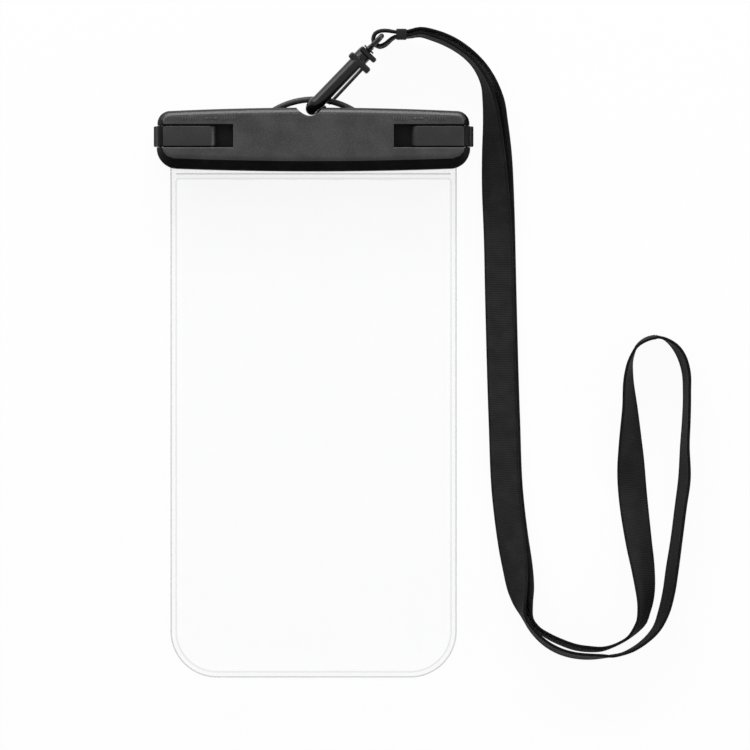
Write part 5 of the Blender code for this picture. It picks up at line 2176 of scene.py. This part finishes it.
@dataclass(frozen=True)
class Softbox:
    """A rectangular soft light aimed at the case.

    Its turn is counted from +X towards +Y and its rise from the floor, both in degrees. Its level
    is what a white card held square to it would show.
    """

    name: str
    turn: float
    rise: float
    distance: float
    width: float
    height: float
    level: float

    def add(self, aim: Vector) -> None:
        """Hangs the light.

        Args:
            aim: Where it points.
        """
        data = bpy.data.lights.new(self.name, "AREA")
        data.shape = "RECTANGLE"
        data.size = self.width
        data.size_y = self.height
        data.energy = self.level * math.pi**2 * self.distance**2
        lamp = bpy.data.objects.new(self.name, data)
        bpy.context.scene.collection.objects.link(lamp)
        turn, rise = math.radians(self.turn), math.radians(self.rise)
        away = Vector(
            (math.cos(turn) * math.cos(rise), math.sin(turn) * math.cos(rise), math.sin(rise))
        )
        lamp.location = aim + self.distance * away
        lamp.rotation_euler = (-away).to_track_quat("-Z", "Y").to_euler()


@dataclass(frozen=True)
class Studio:
    """The camera straight above, the white floor and the lights."""

    view: Point = (21.2 * MM, 4.14 * MM, 8.0 * MM)
    view_width: float = 258.75 * MM
    lens_mm: float = 600.0
    sensor_mm: float = 36.0
    floor_half: float = 1.6
    floor_drop: float = 0.2 * MM
    room_level: float = 0.44
    softboxes: tuple[Softbox, ...] = (
        Softbox("key", 90.0, 22.0, 1.2, 1.5, 0.26, 1.02),
        Softbox("upper_left", 137.0, 30.0, 1.2, 0.4, 1.0, 0.2),
        Softbox("lower_right", -6.0, 18.0, 1.1, 0.6, 0.25, 0.28),
    )

    def make_camera(self) -> None:
        """Puts up the camera, which looks straight down at the view's middle."""
        data = bpy.data.cameras.new("camera")
        data.lens = self.lens_mm
        data.sensor_width = self.sensor_mm
        data.clip_end = 20.0
        camera = bpy.data.objects.new("camera", data)
        bpy.context.scene.collection.objects.link(camera)
        away = Vector((0, 0, self.view_width * self.lens_mm / self.sensor_mm))
        camera.location = Vector(self.view) + away
        bpy.context.scene.camera = camera

    def make_floor(self) -> None:
        """Lays the white floor just under the case."""

        def build(shape: bmesh.types.BMesh) -> None:
            """Fills the bmesh with the floor."""
            bmesh.ops.create_grid(shape, x_segments=2, y_segments=2, size=self.floor_half)
            shape.transform(Matrix.Translation((0, 0, -self.floor_drop)))

        floor = Piece("floor", mesh_from("floor", build))
        floor.object.data.materials.append(WhiteGround().build())

    def make_lights(self) -> None:
        """A dim even room and the low soft lights."""
        world = bpy.data.worlds.new("room")
        bpy.context.scene.world = world
        world.use_nodes = True
        background = world.node_tree.nodes["Background"]
        background.inputs["Color"].default_value = (1.0, 1.0, 1.0, 1.0)
        background.inputs["Strength"].default_value = self.room_level
        for softbox in self.softboxes:
            softbox.add(Vector(self.view))


def dress_nodes(nodes: Mapping[str, bpy.types.Object]) -> None:
    """Gives the CAD nodes that are carried over their finishes.

    Args:
        nodes: The frame's nodes by name.
    """
    dressed = (
        (PLATE_MATT, ("rear_clamp_plate", "front_clamp_plate")),
        (SEAL_SILICONE, ("rear_seal", "front_seal")),
        (DrawnSteel(), ("left_lever_pin", "right_lever_pin", "hook_gate_pin")),
    )
    for finish, names in dressed:
        material = finish.build()
        for name in names:
            nodes[name].data.materials.clear()
            nodes[name].data.materials.append(material)
            LOG.info("%s keeps its CAD shape", name)


def main() -> None:
    """Dresses the frame."""
    logging.basicConfig(level=logging.INFO, format="%(message)s")
    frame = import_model()
    bpy.context.scene.view_settings.view_transform = "Standard"
    studio = Studio()
    studio.make_camera()
    Strap().make()
    layout = Layout.from_frame()
    SnapHook().make()
    Clamp(layout).make()
    Bag(layout).make()
    dress_nodes(frame["nodes"])
    studio.make_floor()
    studio.make_lights()


if __name__ == "__main__":
    main()
